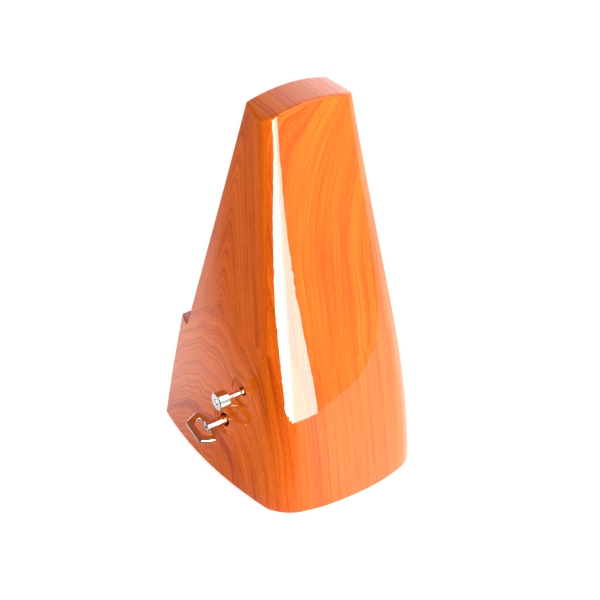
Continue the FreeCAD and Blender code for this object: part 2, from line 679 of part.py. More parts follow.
def case_shell():
    wall = size("wall")
    outer = outer_case()
    under = size("ledge_up - wall")
    behind = prism([(wall, ROOM), (wall, under), (-ROOM, under), (-ROOM, ROOM)])
    inner = envelope(wall, 0.0).common(under_head(wall)).cut(behind)
    bosses = [Part.makeCylinder(size("boss_radius"), size("boss_tall"), V(x, y, size("base_thick")))
              for x, y in boss_spots()]
    posts = bosses[0].multiFuse(bosses[1:]).common(outer)
    shell = outer.cut(inner).fuse(posts)
    key_y, key_z, knob_y, knob_z = (size(s) for s in ("key_y", "key_z", "knob_y", "knob_z"))
    middle = size("half_front") / 2
    slot = Part.makeBox(2 * size("rod_slot_half"), size("rod_slot_deep"), 3 * wall + size("groove_round"),
                        V(-size("rod_slot_half"), -size("rod_slot_deep"), size("ledge_up") - 2 * wall))
    tools = [
        placed(front_plate(window_points(), -CLEAR, 2 * wall)),
        placed(slot),
        dish(knob_y, knob_z, size("dish_radius"), size("dish_deep")),
        dish(key_y, key_z, size("dish_radius"), size("dish_deep") / 2),
        dish(key_y, key_z, size("dish_radius - dish_step"), size("dish_deep")),
        Part.makeCylinder(size("knob_hole"), 2 * middle, V(middle, knob_y, knob_z), X),
        Part.makeCylinder(size("key_hole"), 2 * middle, V(middle, key_y, key_z), X),
    ]
    depth = size("screw_long + screw_spare + head_tall - base_thick")
    tools += [Part.makeCylinder(size("screw_radius + thread_gap"), depth, V(x, y, size("base_thick")))
              for x, y in boss_spots()]
    shell = shell.cut(tools[0].multiFuse(tools[1:]))
    feature("case_shell", shell.removeSplitter())


def front_cover():
    """The clear cover: flush with the case sides, open at the back and the foot, with grip ribs."""
    depth, wall, gap = size("cover_depth"), size("cover_wall"), size("cover_gap")
    foot = size("ledge_up + lip_rise + cover_gap")
    low = foot - size("cover_depth")
    block = prism([(-gap, ROOM), (-gap, foot), (-depth, foot), (-depth, ROOM)])
    hollow = prism([(gap, ROOM), (gap, low), (wall - depth, low), (wall - depth, ROOM)])
    outer = whole_form().common(block)
    cover = outer.cut(envelope(wall).common(under_head(wall)).common(hollow))
    turn = front_frame()
    ribs = []
    last = int(size("rib_count")) - 1
    for n in range(last + 1):
        up = size("rib_low") + n * size("rib_pitch")
        ahead = size("rib_low_depth") + (size("rib_top_depth") - size("rib_low_depth")) * n / last
        spot = turn.multVec(V(0, -ahead, up))
        reach = Outline(spot.z).side(spot.y) + size("rib_proud")
        for side in (-1, 1):
            start = V(min(side * reach, side * (reach - wall)), -ahead - size("rib_long") / 2, up)
            ribs.append(placed(Part.makeBox(wall, size("rib_long"), size("rib_thick"), start)))
    feature("front_cover", cover.multiFuse(ribs).removeSplitter())


def base_plate():
    """The flush base plate with pockets for the pads and counterbores for the screws."""
    foot = Outline(size("base_thick"), size("wall") + size("base_gap"))
    plate = Part.Face(foot.wire(curve_knots())).extrude(V(0, 0, -size("base_thick")))
    tools = [Part.makeCylinder(size("pad_radius + fit_gap"), size("pad_thick"), V(x, y, 0))
             for x, y in pad_spots()]
    for x, y in boss_spots():
        tools.append(Part.makeCylinder(size("screw_head + fit_gap"), size("head_tall + fit_gap"), V(x, y, 0)))
        tools.append(Part.makeCylinder(size("screw_radius + fit_gap"), size("base_thick"), V(x, y, 0)))
    tap = size("bracket_tap")
    for x, y in bracket_spots():
        start = V(x, y, size("base_thick") - tap)
        tools.append(Part.makeCylinder(size("screw_radius + thread_gap"), tap, start))
    feature("base_plate", plate.cut(tools[0].multiFuse(tools[1:])))


def pad_spots():
    front = (size("pad_side"), size("pad_front"))
    back = (size("pad_side_back"), size("pad_back"))
    return [(side * x, y) for x, y in (front, back) for side in (-1, 1)]


def base_pads():
    for n, (side, y) in enumerate((("-pad_side", "pad_front"), ("pad_side", "pad_front"),
                                   ("-pad_side_back", "pad_back"), ("pad_side_back", "pad_back")), 1):
        pad = rod("pad_radius", "pad_thick", (side, y, 0), "Z")
        named(pad, f"base_pad_{n}")


def screw_shape(long, head_at, way):
    """A slotted screw: its shank runs from the head's seat along a direction."""
    shank = Part.makeCylinder(size("screw_radius"), long, head_at, way)
    head = Part.makeCylinder(size("screw_head"), size("head_tall"), head_at - way * size("head_tall"), way)
    reach, wide = size("screw_head"), size("screw_slot")
    slot = Part.makeBox(2 * reach, wide, wide, V(-reach, -wide / 2, 0))
    slot.Placement = FreeCAD.Placement(head_at - way * size("head_tall"), FreeCAD.Rotation(Z, way))
    return shank.fuse(head).cut(slot)


def base_screws():
    seat = size("head_tall")
    feature("base_screws", Part.makeCompound(
        [screw_shape(size("screw_long"), V(x, y, seat), Z) for x, y in boss_spots()]))


# ---- dial ------------------------------------------------------------------------------------

PIN_UPS = ("scale_low + pin_inset", "scale_top - pin_inset", "catch_up + catch_pin_up")


def dial_panel():
    near, wall = size("dial_recess"), size("wall")
    face = front_plate(window_points(-size("fit_gap")), near, wall)
    flange = front_plate(window_points(size("dial_lap")), wall, wall + size("dial_flange"))
    holes = [Part.makeCylinder(size("pin_radius + thread_gap"), wall + CLEAR, V(x, 0, z), Y)
             for x, z in pin_spots()]
    panel = face.fuse(flange).removeSplitter().cut(holes[0].multiFuse(holes[1:]))
    feature("dial_panel", panel, front_frame())


def pin_spots():
    """Fixing pins on the centre line: two for the scale and one for the catch."""
    return [(0, size(up)) for up in PIN_UPS]


def tempo_scale():
    """The plate that carries the tempo marks, on the face of the dial."""
    outline = [("-scale_half", "scale_low"), ("scale_half", "scale_low"), ("scale_half", "scale_top"),
               ("-scale_half", "scale_top")]
    holes = [(0, up, "pin_radius + thread_gap") for up in PIN_UPS[:2]]
    plate = slab("XZ_Plane", [outline], "scale_thick", (0, "dial_recess", 0), holes)
    named(group(plate), "tempo_scale", sloping=True)


def dial_pins():
    """Small round-headed pins that hold the scale and the catch to the dial."""
    seat = "dial_recess - scale_thick"
    pins = []
    for up in PIN_UPS:
        shank = rod("pin_radius", "wall + scale_thick", (0, seat, up), "Y")
        head = rod("pin_head", "pin_head_thick", (0, f"{seat} - pin_head_thick", up), "Y")
        pins.append(fuse(shank, head))
    named(group(*pins), "dial_pins", sloping=True)


def pendulum_catch():
    """A two-pronged clip on the dial, just above the tip of the rod."""
    seat, near, up = "dial_recess - scale_thick", "-rod_front - prong_ahead", "catch_up + prong_up"
    foot = box(("-catch_half", seat, "catch_up"), ("2 * catch_half", "scale_thick", "catch_tall"))
    prong = ("prong_thick", f"{seat} - ({near})", "prong_tall")
    left = box(("-rod_wide / 2 - prong_thick", near, up), prong)
    right = box(("rod_wide / 2", near, up), prong)
    hole = rod("pin_radius + thread_gap", "dial_recess", (0, seat, "catch_up + catch_pin_up"), "Y")
    named(cut(fuse(foot, left, right), hole), "pendulum_catch", sloping=True)


# ---- pendulum, drawn in the front frame --------------------------------------------------------

def tempo_marks():
    """The 39 usual tempo marks."""
    steps = ((SLOWEST, 60, 2), (63, 72, 3), (76, 120, 4), (126, 144, 6), (152, FASTEST, 8))
    return [beat for low, high, step in steps for beat in range(low, high + 1, step)]


def weight_height(beat):
    """Where the weight's centre stands on the rod for a tempo."""
    share = math.log(FASTEST / beat) / math.log(FASTEST / SLOWEST)
    return size("fast_up") + (size("slow_up") - size("fast_up")) * share


def pendulum_rod():
    """The flat rod, notched down one edge at each tempo mark, with an eye at the arbor."""
    half, front, thick = size("rod_wide") / 2, -size("rod_front"), size("rod_thick")
    pivot, notch = size("pivot_up"), size("notch")
    points = [(-half, pivot), (-half, size("rod_top") - half), (-half / 2, size("rod_top")),
              (half / 2, size("rod_top")), (half, size("rod_top") - half)]
    for beat in tempo_marks():
        up = weight_height(beat) + size("weight_tall") / 2
        if up < size("rod_top") - half - notch:
            points += [(half, up + notch), (half - notch, up), (half, up - notch)]
    points.append((half, pivot))
    strip = front_plate(points, front, front + thick)
    eye = Part.makeCylinder(size("eye_radius"), thick, V(0, front, pivot), Y)
    hole = Part.makeCylinder(size("arbor_radius + thread_gap"), thick, V(0, front, pivot), Y)
    feature("pendulum_rod", strip.fuse(eye).removeSplitter().cut(hole), front_frame())


ARM_FRONT = "rod_thick - rod_front + hub_long"


def pendulum_lower():
    """Spacer, bob arm, bob and its screw, all on the pendulum arbor."""
    eye = rod("eye_radius", "hub_long", (0, "rod_thick - rod_front", "pivot_up"), "Y")
    bore = rod("arbor_radius + thread_gap", "hub_long", (0, "rod_thick - rod_front", "pivot_up"), "Y")
    named(cut(eye, bore), "pendulum_spacer", sloping=True)
    arm = fuse(box(("-arm_wide / 2", ARM_FRONT, "arm_low"), ("arm_wide", "rod_thick", "pivot_up - arm_low")),
               rod("eye_radius", "rod_thick", (0, ARM_FRONT, "pivot_up"), "Y"))
    holes = fuse(rod("arbor_radius + thread_gap", "rod_thick", (0, ARM_FRONT, "pivot_up"), "Y"),
                 rod("screw_radius + thread_gap", "rod_thick", (0, ARM_FRONT, "bob_up"), "Y"))
    named(cut(arm, holes), "bob_arm", sloping=True)
    back = f"{ARM_FRONT} + rod_thick"
    bob = primitive("Cylinder", (0, back, "bob_up"), "Y", Radius="bob_radius", Height="bob_thick")
    named(cut(bob, rod("screw_radius + thread_gap", "bob_thick", (0, back, "bob_up"), "Y")), "pendulum_bob",
          sloping=True)
    long = "bob_thick + rod_thick - bob_screw_short"
    screw = fuse(rod("screw_radius", long, (0, ARM_FRONT, "bob_up"), "Y"),
                 rod("screw_head", "bob_screw_head", (0, f"{ARM_FRONT} - bob_screw_head", "bob_up"), "Y"))
    named(group(screw), "bob_screw", sloping=True)


def pendulum_arbor():
    """The arbor: head nut in front, journals in both bearings, two pallets at the crown wheel."""
    head = rod("nut_radius", "nut_thick", (0, "-rod_front - nut_thick", "pivot_up"), "Y")
    thick_part = rod("arbor_radius", "rod_front + front_bearing + bearing_thick + arbor_past",
                     (0, "-rod_front", "pivot_up"), "Y")
    slim = rod("arbor_radius - arbor_step", "rear_bearing - front_bearing",
               (0, "front_bearing + slim_start", "pivot_up"), "Y")
    pallets = []
    for side, turn in ((-1, 45), (1, -45)):
        flag = doc.addObject("Part::Box", "Pallet")
        flag.setExpression("Length", cell("crown_tips + pallet_lap"))
        flag.setExpression("Width", cell("pallet_wide"))
        flag.setExpression("Height", cell("pallet_thick"))
        middle = f"escape_back {'+' if side > 0 else '-'} pallet_radius - pallet_wide / 2"
        flag.Placement = FreeCAD.Placement(V(0, size(middle), size("pivot_up")), FreeCAD.Rotation(Y, turn))
        flag.setExpression(".Placement.Base.y", cell(middle))
        flag.setExpression(".Placement.Base.z", cell("pivot_up"))
        pallets.append(flag)
    named(fuse(head, thick_part, slim, *pallets), "pendulum_arbor", sloping=True)


def bearing_arms():
    """Arms from the right movement plate that carry the pendulum arbor."""
    for label, depth, radius in (("front_bearing_arm", "front_bearing", "arbor_radius"),
                                 ("rear_bearing_arm", "rear_bearing", "arbor_radius - arbor_step")):
        arm = box(("-bearing_half", depth, "pivot_up - bearing_half"),
                  ("plate_in + bearing_half", "bearing_thick", "2 * bearing_half"))
        bore = rod(f"{radius} + run_gap", "bearing_thick", (0, depth, "pivot_up"), "Y")
        named(cut(arm, bore), label, sloping=True)


def tempo_weight():
    """The sliding weight, wider at its head, with a slot for the rod and a pocket for its spring."""
    low, top = "weight_up - weight_tall / 2", "weight_up + weight_tall / 2"
    outline = [("-weight_foot", low), ("weight_foot", low), ("weight_head", top), ("-weight_head", top)]
    block = slab("XZ_Plane", [outline], "weight_front + weight_back", (0, "weight_back", 0))
    slot = box(("-rod_wide / 2 - slide_gap", "-rod_front - slide_gap", low),
               ("rod_wide + 2 * slide_gap", "rod_thick + 2 * slide_gap", "weight_tall"))
    pocket = box(("-rod_wide / 2 + pocket_inset", "-rod_front - pocket_deep", f"{low} + pocket_end"),
                 ("rod_wide - 2 * pocket_inset", "pocket_deep", "weight_tall - 2 * pocket_end"))
    named(cut(block, fuse(slot, pocket)), "tempo_weight", sloping=True)
    side, end = "(pocket_inset + spring_gap)", "(pocket_end + spring_gap)"
    strip = box((f"-rod_wide / 2 + {side}", "-rod_front - 2 * spring_thin", f"{low} + {end}"),
                (f"rod_wide - 2 * {side}", "spring_thin", f"weight_tall - 2 * {end}"))
    named(group(strip), "weight_spring", sloping=True)


# ---- movement frame ----------------------------------------------------------------------------

def gear_spots():
    """Centres (y, z) of every arbor, worked out from the tooth counts."""
    key = (size("key_y"), size("key_z"))
    slope = math.radians(size(FRONT_SLOPE))
    behind, up = size("escape_back"), size("pivot_up")
    escape = (size("front_foot") + up * math.sin(slope) + behind * math.cos(slope),
              up * math.cos(slope) - behind * math.sin(slope))
    first = size("module_great") * size("great_teeth + pinion_teeth") / 2 + size("mesh_gap")
    then = size("module_second") * size("second_teeth + escape_leaves") / 2 + size("mesh_gap")
    second = meeting_point(key, first, escape, then)
    reach = size("module_great") * size("great_teeth + cam_teeth") / 2 + size("mesh_gap")
    turn = math.radians(size("cam_angle"))
    cams = (key[0] + reach * math.cos(turn), key[1] + reach * math.sin(turn))
    return {"key": key, "second": second, "escape": escape, "cams": cams,
            "selector": (size("knob_y"), size("knob_z"))}


def meeting_point(one, reach_one, two, reach_two):
    """The lower of the two points at given distances from two centres."""
    dy, dz = two[0] - one[0], two[1] - one[1]
    apart = math.hypot(dy, dz)
    along = (reach_one ** 2 - reach_two ** 2 + apart ** 2) / (2 * apart)
    off = math.sqrt(reach_one ** 2 - along ** 2)
    return one[0] + (along * dy - off * dz) / apart, one[1] + (along * dz + off * dy) / apart


def pillar_spots():
    low = size("base_thick + pillar_low")
    return [(size("plate_front + pillar_inset"), low), (size("plate_back - pillar_inset"), low),
            (size("plate_front + pillar_front_in"), size("plate_top - pillar_front_down")),
            (size("plate_back - pillar_back_in"), size("plate_top - pillar_back_down"))]


def cross_rod(radius, low, high, spot):
    """A cylinder along X between two x values at a (y, z) spot."""
    return Part.makeCylinder(radius, high - low, V(low, spot[0], spot[1]), X)


def bracket_spots():
    return [(side * size("plate_in + plate_thick + bracket_reach"), y) for side in (-1, 1)
            for y in (size("bracket_front"), size("bracket_back"))]


def movement_plates():
    """Both plates stand on the base plate and are bored for every arbor, pillar and screw."""
    low, high = size("base_thick"), size("plate_top")
    front, back = size("plate_front"), size("plate_back")
    outline = [(front, low), (back, low), (back, high - size("plate_cut_back_down")),
               (back - size("plate_cut_back"), high), (front + size("plate_cut_front"), high),
               (front, high - size("plate_cut_front_down"))]
    thick, inner = size("plate_thick"), size("plate_in")
    spots = gear_spots()
    gap = size("run_gap")
    slim = size("pivot_radius") + gap
    bores = {"plate_left": {"key": slim, "second": slim, "cams": slim, "selector": size("rod_radius") + gap},
             "plate_right": {"key": size("key_journal") + gap, "second": slim, "escape": slim, "cams": slim,
                             "selector": size("rod_radius") + gap}}
    for label, start in (("plate_left", -inner - thick), ("plate_right", inner)):
        corners = [V(start, y, z) for y, z in outline]
        plate = Part.Face(Part.makePolygon(corners + corners[:1])).extrude(V(thick, 0, 0))
        end = start + thick
        tools = [cross_rod(radius, start, end, spots[name]) for name, radius in bores[label].items()]
        screwed = pillar_spots() + [(y, size("base_thick + bracket_up")) for _, y in bracket_spots()[:2]]
        if label == "plate_left":
            screwed += [(size("bell_y"), size("bell_z")), post_spot()]
        else:
            screwed += cock_spots() + arm_spots()
        tools += [cross_rod(size("screw_radius + thread_gap"), start, end, spot) for spot in screwed]
        feature(label, plate.cut(tools[0].multiFuse(tools[1:])))


def post_spot():
    return size("key_y"), size("key_z - spring_radius - post_out")


def cock_spots():
    y, z = gear_spots()["escape"]
    up = z + size("cock_post_up")
    return [(y - size("cock_post_front"), up), (y + size("cock_post_back"), up)]


def arm_spots():
    """Screw positions at the roots of the two bearing arms."""
    turn = front_frame()
    spots = [turn.multVec(V(0, size(depth) + size("bearing_thick") / 2, size("pivot_up")))
             for depth in ("front_bearing", "rear_bearing")]
    return [(s.y, s.z) for s in spots]


def pillars():
    """Four pillars between the plates, each tapped for a screw at both ends."""
    inner, deep = size("plate_in"), size("tap_deep")
    hole = size("screw_radius + thread_gap")
    shapes = []
    for spot in pillar_spots():
        bores = [cross_rod(hole, -inner, deep - inner, spot), cross_rod(hole, inner - deep, inner, spot)]
        shapes.append(cross_rod(size("pillar_radius"), -inner, inner, spot).cut(bores[0].fuse(bores[1])))
    feature("movement_pillars", Part.makeCompound(shapes))


def plate_screws():
    outer, long = size("plate_in + plate_thick"), size("plate_screw")
    shapes = [screw_shape(long, V(-outer, y, z), X) for y, z in pillar_spots()]
    shapes += [screw_shape(long, V(outer, y, z), -X) for y, z in pillar_spots() + cock_spots()]
    feature("plate_screws", Part.makeCompound(shapes))


def brackets():
    """Four angle brackets that screw the plates to the base plate."""
    outer, base = size("plate_in + plate_thick"), size("base_thick")
    thick, half, long = size("bracket_thick"), size("bracket_half"), size("bracket_foot")
    up = size("base_thick + bracket_up")
    hole = size("screw_radius + thread_gap")
    shapes, screws = [], []
    for x, y in bracket_spots():
        side = 1 if x > 0 else -1
        left = outer if side > 0 else -outer - thick
        foot = Part.makeBox(long, 2 * half, thick, V(outer if side > 0 else -outer - long, y - half, base))
        wing = Part.makeBox(thick, 2 * half, size("bracket_tall"), V(left, y - half, base))
        bores = [Part.makeCylinder(hole, thick, V(x, y, base)), cross_rod(hole, left, left + thick, (y, up))]
        shapes.append(foot.fuse(wing).removeSplitter().cut(bores[0].fuse(bores[1])))
        screws.append(screw_shape(size("bracket_screw"), V(x, y, base + thick), -Z))
        screws.append(screw_shape(size("bracket_screw_side"), V(side * (outer + thick), y, up), -X * side))
    feature("movement_brackets", Part.makeCompound(shapes))
    feature("bracket_screws", Part.makeCompound(screws))


def escape_cock():
    """The bridge that carries the inner end of the escape arbor, on two posts from the right plate."""
    inner = size("plate_in")
    y, z = gear_spots()["escape"]
    near = size("cock_start")
    front, back = y - size("cock_front"), y + size("cock_back")
    low, high = z - size("cock_low"), z + size("cock_high")
    corners = [V(near, front, low), V(near, back, low), V(near, back, high), V(near, front, high)]
    bridge = Part.Face(Part.makePolygon(corners + corners[:1])).extrude(V(size("cock_thick"), 0, 0))
    posts = [cross_rod(size("cock_post"), near + size("cock_thick"), inner, spot) for spot in cock_spots()]
    holes = [cross_rod(size("screw_radius + thread_gap"), inner - size("tap_deep"), inner, spot)
             for spot in cock_spots()]
    holes.append(cross_rod(size("escape_radius") + size("run_gap"), near, near + size("cock_thick"), (y, z)))
    feature("escape_cock", bridge.multiFuse(posts).cut(holes[0].multiFuse(holes[1:])))


# ---- wheels ------------------------------------------------------------------------------------

def toothed(teeth, module, start, thick, spot, phase, bore):
    """A spur gear with straight-sided teeth; phase is the angle of one tooth's middle."""
    pitch = module * teeth / 2
    addendum, dedendum, tip_share, root_share = 0.85, 1.15, 0.13, 0.36
    tip, root = pitch + addendum * module, pitch - dedendum * module
    step = 2 * math.pi / teeth
    points = []
    for n in range(int(teeth)):
        middle = phase + n * step
        for radius, share in ((root, -root_share), (tip, -tip_share), (tip, tip_share), (root, root_share)):
            turn = middle + share * step
            points.append(V(start, spot[0] + radius * math.cos(turn), spot[1] + radius * math.sin(turn)))
    blank = Part.Face(Part.makePolygon(points + points[:1])).extrude(V(thick, 0, 0))
    return blank.cut(cross_rod(bore, start, start + thick, spot))


def toward(one, two):
    return math.atan2(two[1] - one[1], two[0] - one[0])


def round_holes(wheel, start, spot, phase):
    """Four holes through a wheel's web."""
    reach, thick = size(f"{wheel}_hole_at"), size("wheel_thick")
    turns = [phase + math.radians(45 + 90 * k) for k in range(4)]
    return [cross_rod(size(f"{wheel}_hole"), start, start + thick,
                      (spot[0] + reach * math.cos(a), spot[1] + reach * math.sin(a))) for a in turns]


def main_train():
    """Key arbor, great wheel, second arbor and escape arbor, in mesh at rest."""
    spots = gear_spots()
    great_m, second_m = size("module_great"), size("module_second")
    great_n, pinion_n = size("great_teeth"), size("pinion_teeth")
    second_n, leaves, cam_n = size("second_teeth"), size("escape_leaves"), size("cam_teeth")
    key, second, escape, cams = (spots[n] for n in ("key", "second", "escape", "cams"))
    thick, start = size("wheel_thick"), size("great_start")
    fixed, gap = size("thread_gap"), size("run_gap")

    great_phase = toward(key, second)
    wheel = toothed(great_n, great_m, start, thick, key, great_phase, size("barrel_radius") + gap)
    windows = round_holes("great", start, key, great_phase)
    click_hole = cross_rod(size("click_pin") + fixed, start, start + thick, click_spot())
    feature("great_wheel", wheel.cut(windows[0].multiFuse(windows[1:] + [click_hole])))
    past = size("pinion_past")
    feature("second_pinion", toothed(pinion_n, great_m, start - past, thick + 2 * past, second,
                                     toward(second, key) + math.pi / pinion_n, size("arbor_slim") + fixed))

    second_at = size("second_start")
    wheel = toothed(second_n, second_m, second_at, thick, second, toward(second, escape),
                    size("arbor_slim") + fixed)
    windows = round_holes("second", second_at, second, 0.0)
    feature("second_wheel", wheel.cut(windows[0].multiFuse(windows[1:])))
    phase = toward(escape, second) + math.pi / leaves
    feature("escape_pinion", toothed(leaves, second_m, second_at - past, thick + 2 * past, escape,
                                     phase, size("escape_radius") + fixed))

    bearing = toward(key, cams)
    step = 2 * math.pi / great_n
    ahead = (great_phase - bearing) % step
    cam_phase = toward(cams, key) + math.pi / cam_n - ahead * great_n / cam_n
    feature("cam_wheel", toothed(cam_n, great_m, start, thick, cams, cam_phase, size("arbor_slim") + fixed))


def arbors():
    """The turned arbors, each with journals in both plates."""
    spots = gear_spots()
    end, low_end = "plate_in + plate_thick + journal_past", "-(plate_in + plate_thick + journal_past)"
    shoulder, low_shoulder = "plate_in - end_shake", "end_shake - plate_in"

    def plain(label, radius, spot):
        profile = [(low_end, 0), (low_end, "pivot_radius"), (low_shoulder, "pivot_radius"),
                   (low_shoulder, radius), (shoulder, radius), (shoulder, "pivot_radius"),
                   (end, "pivot_radius"), (end, 0)]
        named(turned(profile, (0, spot[0], spot[1])), label)

    plain("second_arbor", "arbor_slim", spots["second"])
    plain("cam_arbor", "arbor_slim", spots["cams"])
    profile = [(low_end, 0), (low_end, "pivot_radius"), (low_shoulder, "pivot_radius"),
               (low_shoulder, "barrel_radius"), (shoulder, "barrel_radius"), (shoulder, "key_journal"),
               ("stem_start + key_thread", "key_journal"), ("stem_start + key_thread", 0)]
    named(turned(profile, (0, "key_y", "key_z")), "winding_arbor")
    escape = spots["escape"]
    seat = "crown_end - crown_seat"
    profile = [(seat, 0), (seat, "escape_radius"), (shoulder, "escape_radius"), (shoulder, "pivot_radius"),
               (end, "pivot_radius"), (end, 0)]
    named(turned(profile, (0, escape[0], escape[1])), "escape_arbor")


def crown_wheel():
    """A cup with pointed teeth round its mouth, facing the pendulum arbor."""
    spot = gear_spots()["escape"]
    tips, end, radius = size("crown_tips"), size("crown_end"), size("crown_radius")
    rim, tooth = size("crown_rim"), size("crown_tooth")
    cup = cross_rod(radius, tips, end, spot).cut(cross_rod(radius - rim, tips, end - rim, spot))
    hub = cross_rod(size("crown_hub"), end - size("crown_hub_long"), end - rim, spot)
    step = 2 * math.pi / size("crown_teeth")
    back, front, past = 0.46 * radius * step, 0.40 * radius * step, 0.1
    gaps = []
    for n in range(int(size("crown_teeth"))):
        lean = [V(tips - past, -back, 0), V(tips - past, front, 0), V(tips + tooth, front, 0)]
        gap = Part.Face(Part.makePolygon(lean + lean[:1])).extrude(V(0, 0, 2 * rim))
        gap.translate(V(0, 0, radius - 1.5 * rim))
        gap.rotate(V(0, 0, 0), X, math.degrees((n + 0.5) * step))
        gap.translate(V(0, spot[0], spot[1]))
        gaps.append(gap)
    bore = cross_rod(size("escape_radius") + size("thread_gap"), tips, end, spot)
    feature("crown_wheel", cup.fuse(hub).cut(gaps[0].multiFuse(gaps[1:] + [bore])))


def click_spot():
    turn = toward(gear_spots()["key"], gear_spots()["second"]) + math.radians(90)
    reach = size("click_reach")
    return size("key_y") + reach * math.cos(turn), size("key_z") + reach * math.sin(turn)


def ratchet_work():
    """Ratchet on the winding arbor; click, its pin and its spring on the great wheel."""
    key = gear_spots()["key"]
    count, tip = int(size("ratchet_teeth")), size("ratchet_radius")
    thick, start = size("wheel_thick"), size("great_start - wheel_thick - ratchet_gap")
    root, undercut = tip - size("ratchet_deep"), 0.06
    turn = toward(key, gear_spots()["second"])
    step = 2 * math.pi / count
    points = []
    for n in range(count):
        angle = turn + (n + 0.5) * step
        for radius, ahead in ((tip, 0.0), (root, undercut)):
            points.append(V(start, key[0] + radius * math.cos(angle + ahead * step),
                            key[1] + radius * math.sin(angle + ahead * step)))
    wheel = Part.Face(Part.makePolygon(points + points[:1])).extrude(V(thick, 0, 0))
    bore = size("barrel_radius + thread_gap")
    feature("ratchet_wheel", wheel.cut(cross_rod(bore, start, start + thick, key)))

    spot = click_spot()
    frame = FreeCAD.Placement(V(0, key[0], key[1]), FreeCAD.Rotation(X, math.degrees(turn)))
    reach, half = size("click_reach"), size("click_half")
    arm = [V(start, half, reach + half), V(start, reach * size("click_nose"), tip + size("click_nose_over")),
           V(start, reach * size("click_nose_in"), tip - size("click_nose_under")),
           V(start, -half, reach - size("click_heel"))]
    body = Part.Face(Part.makePolygon(arm + arm[:1])).extrude(V(thick, 0, 0))
    body = body.fuse(cross_rod(size("click_boss"), start, start + thick, (0, reach))).removeSplitter()
    body.Placement = frame
    feature("click", body.cut(cross_rod(size("click_pin + run_gap"), start, start + thick, spot)))
    seat = start - size("end_gap")
    pin_start = seat - size("click_head_thick")
    pin = cross_rod(size("click_pin"), pin_start, size("great_start + wheel_thick"), spot)
    feature("click_pin", pin.fuse(cross_rod(size("click_head"), pin_start, seat, spot)))
    near = size("great_start + wheel_thick + end_gap")
    far = near + size("washer_thick")
    washer = cross_rod(size("washer_radius"), near, far, key)
    feature("great_washer", washer.cut(cross_rod(bore, near, far, key)))


def mainspring():
    """The open mainspring: one strip coiled from the arbor out to its post."""
    key = gear_spots()["key"]
    inner, outer, strip = size("barrel_radius + spring_inner"), size("spring_radius"), size("spring_strip")
    turns, steps = int(size("spring_turns")), 20
    grow = (outer - strip - inner) / turns
    lines = []
    for extra in (0.0, strip):
        points = []
        for n in range(steps * turns + 1):
            angle = 2 * math.pi * n / steps - math.pi / 2
            radius = inner + grow * n / steps + extra
            points.append(V(size("spring_start"), key[0] + radius * math.cos(angle),
                            key[1] + radius * math.sin(angle)))
        curve = Part.BSplineCurve()
        curve.interpolate(points)
        lines.append(curve)
    ends = [Part.LineSegment(lines[0].StartPoint, lines[1].StartPoint),
            Part.LineSegment(lines[0].EndPoint, lines[1].EndPoint)]
    wire = Part.Wire([c.toShape() for c in (lines[0], ends[1], lines[1], ends[0])])
    feature("mainspring", Part.Face(wire).extrude(V(size("spring_wide"), 0, 0)))
    spot = post_spot()
    left = -size("plate_in")
    post = cross_rod(size("post_radius"), left, size("spring_start + spring_wide + post_past"), spot)
    tail = cross_rod(size("screw_radius"), left - size("plate_thick"), left, spot)
    feature("spring_post", post.fuse(tail))


# ---- bell and beat selector --------------------------------------------------------------------

def cam_stack():
    """Four cams with 2, 3, 4 and 6 lobes on one sleeve."""
    spot = gear_spots()["cams"]
    first, step, tip = size("cam_first"), size("cam_step"), size("cam_radius")
    wide, low, lobe_wide = step - size("cam_gap"), tip - size("cam_lift"), size("lobe_wide")
    start, end = first - size("sleeve_past"), first + 3 * step + size("sleeve_past")
    bore = cross_rod(size("arbor_slim + thread_gap"), start, end, spot)
    shapes = [cross_rod(low - size("sleeve_wall"), start, end, spot)]
    for n, lobes in enumerate((2, 3, 4, 6)):
        start = first + n * step - wide / 2
        shapes.append(cross_rod(low, start, start + wide, spot))
        for k in range(lobes):
            turn = 2 * math.pi * k / lobes
            lobe = Part.makeBox(wide, tip, lobe_wide, V(start, 0, -lobe_wide / 2))
            lobe.rotate(V(0, 0, 0), X, math.degrees(turn))
            lobe.translate(V(0, spot[0], spot[1]))
            shapes.append(lobe.common(cross_rod(tip, start, start + wide, spot)))
    feature("beat_cams", shapes[0].multiFuse(shapes[1:]).removeSplitter().cut(bore))


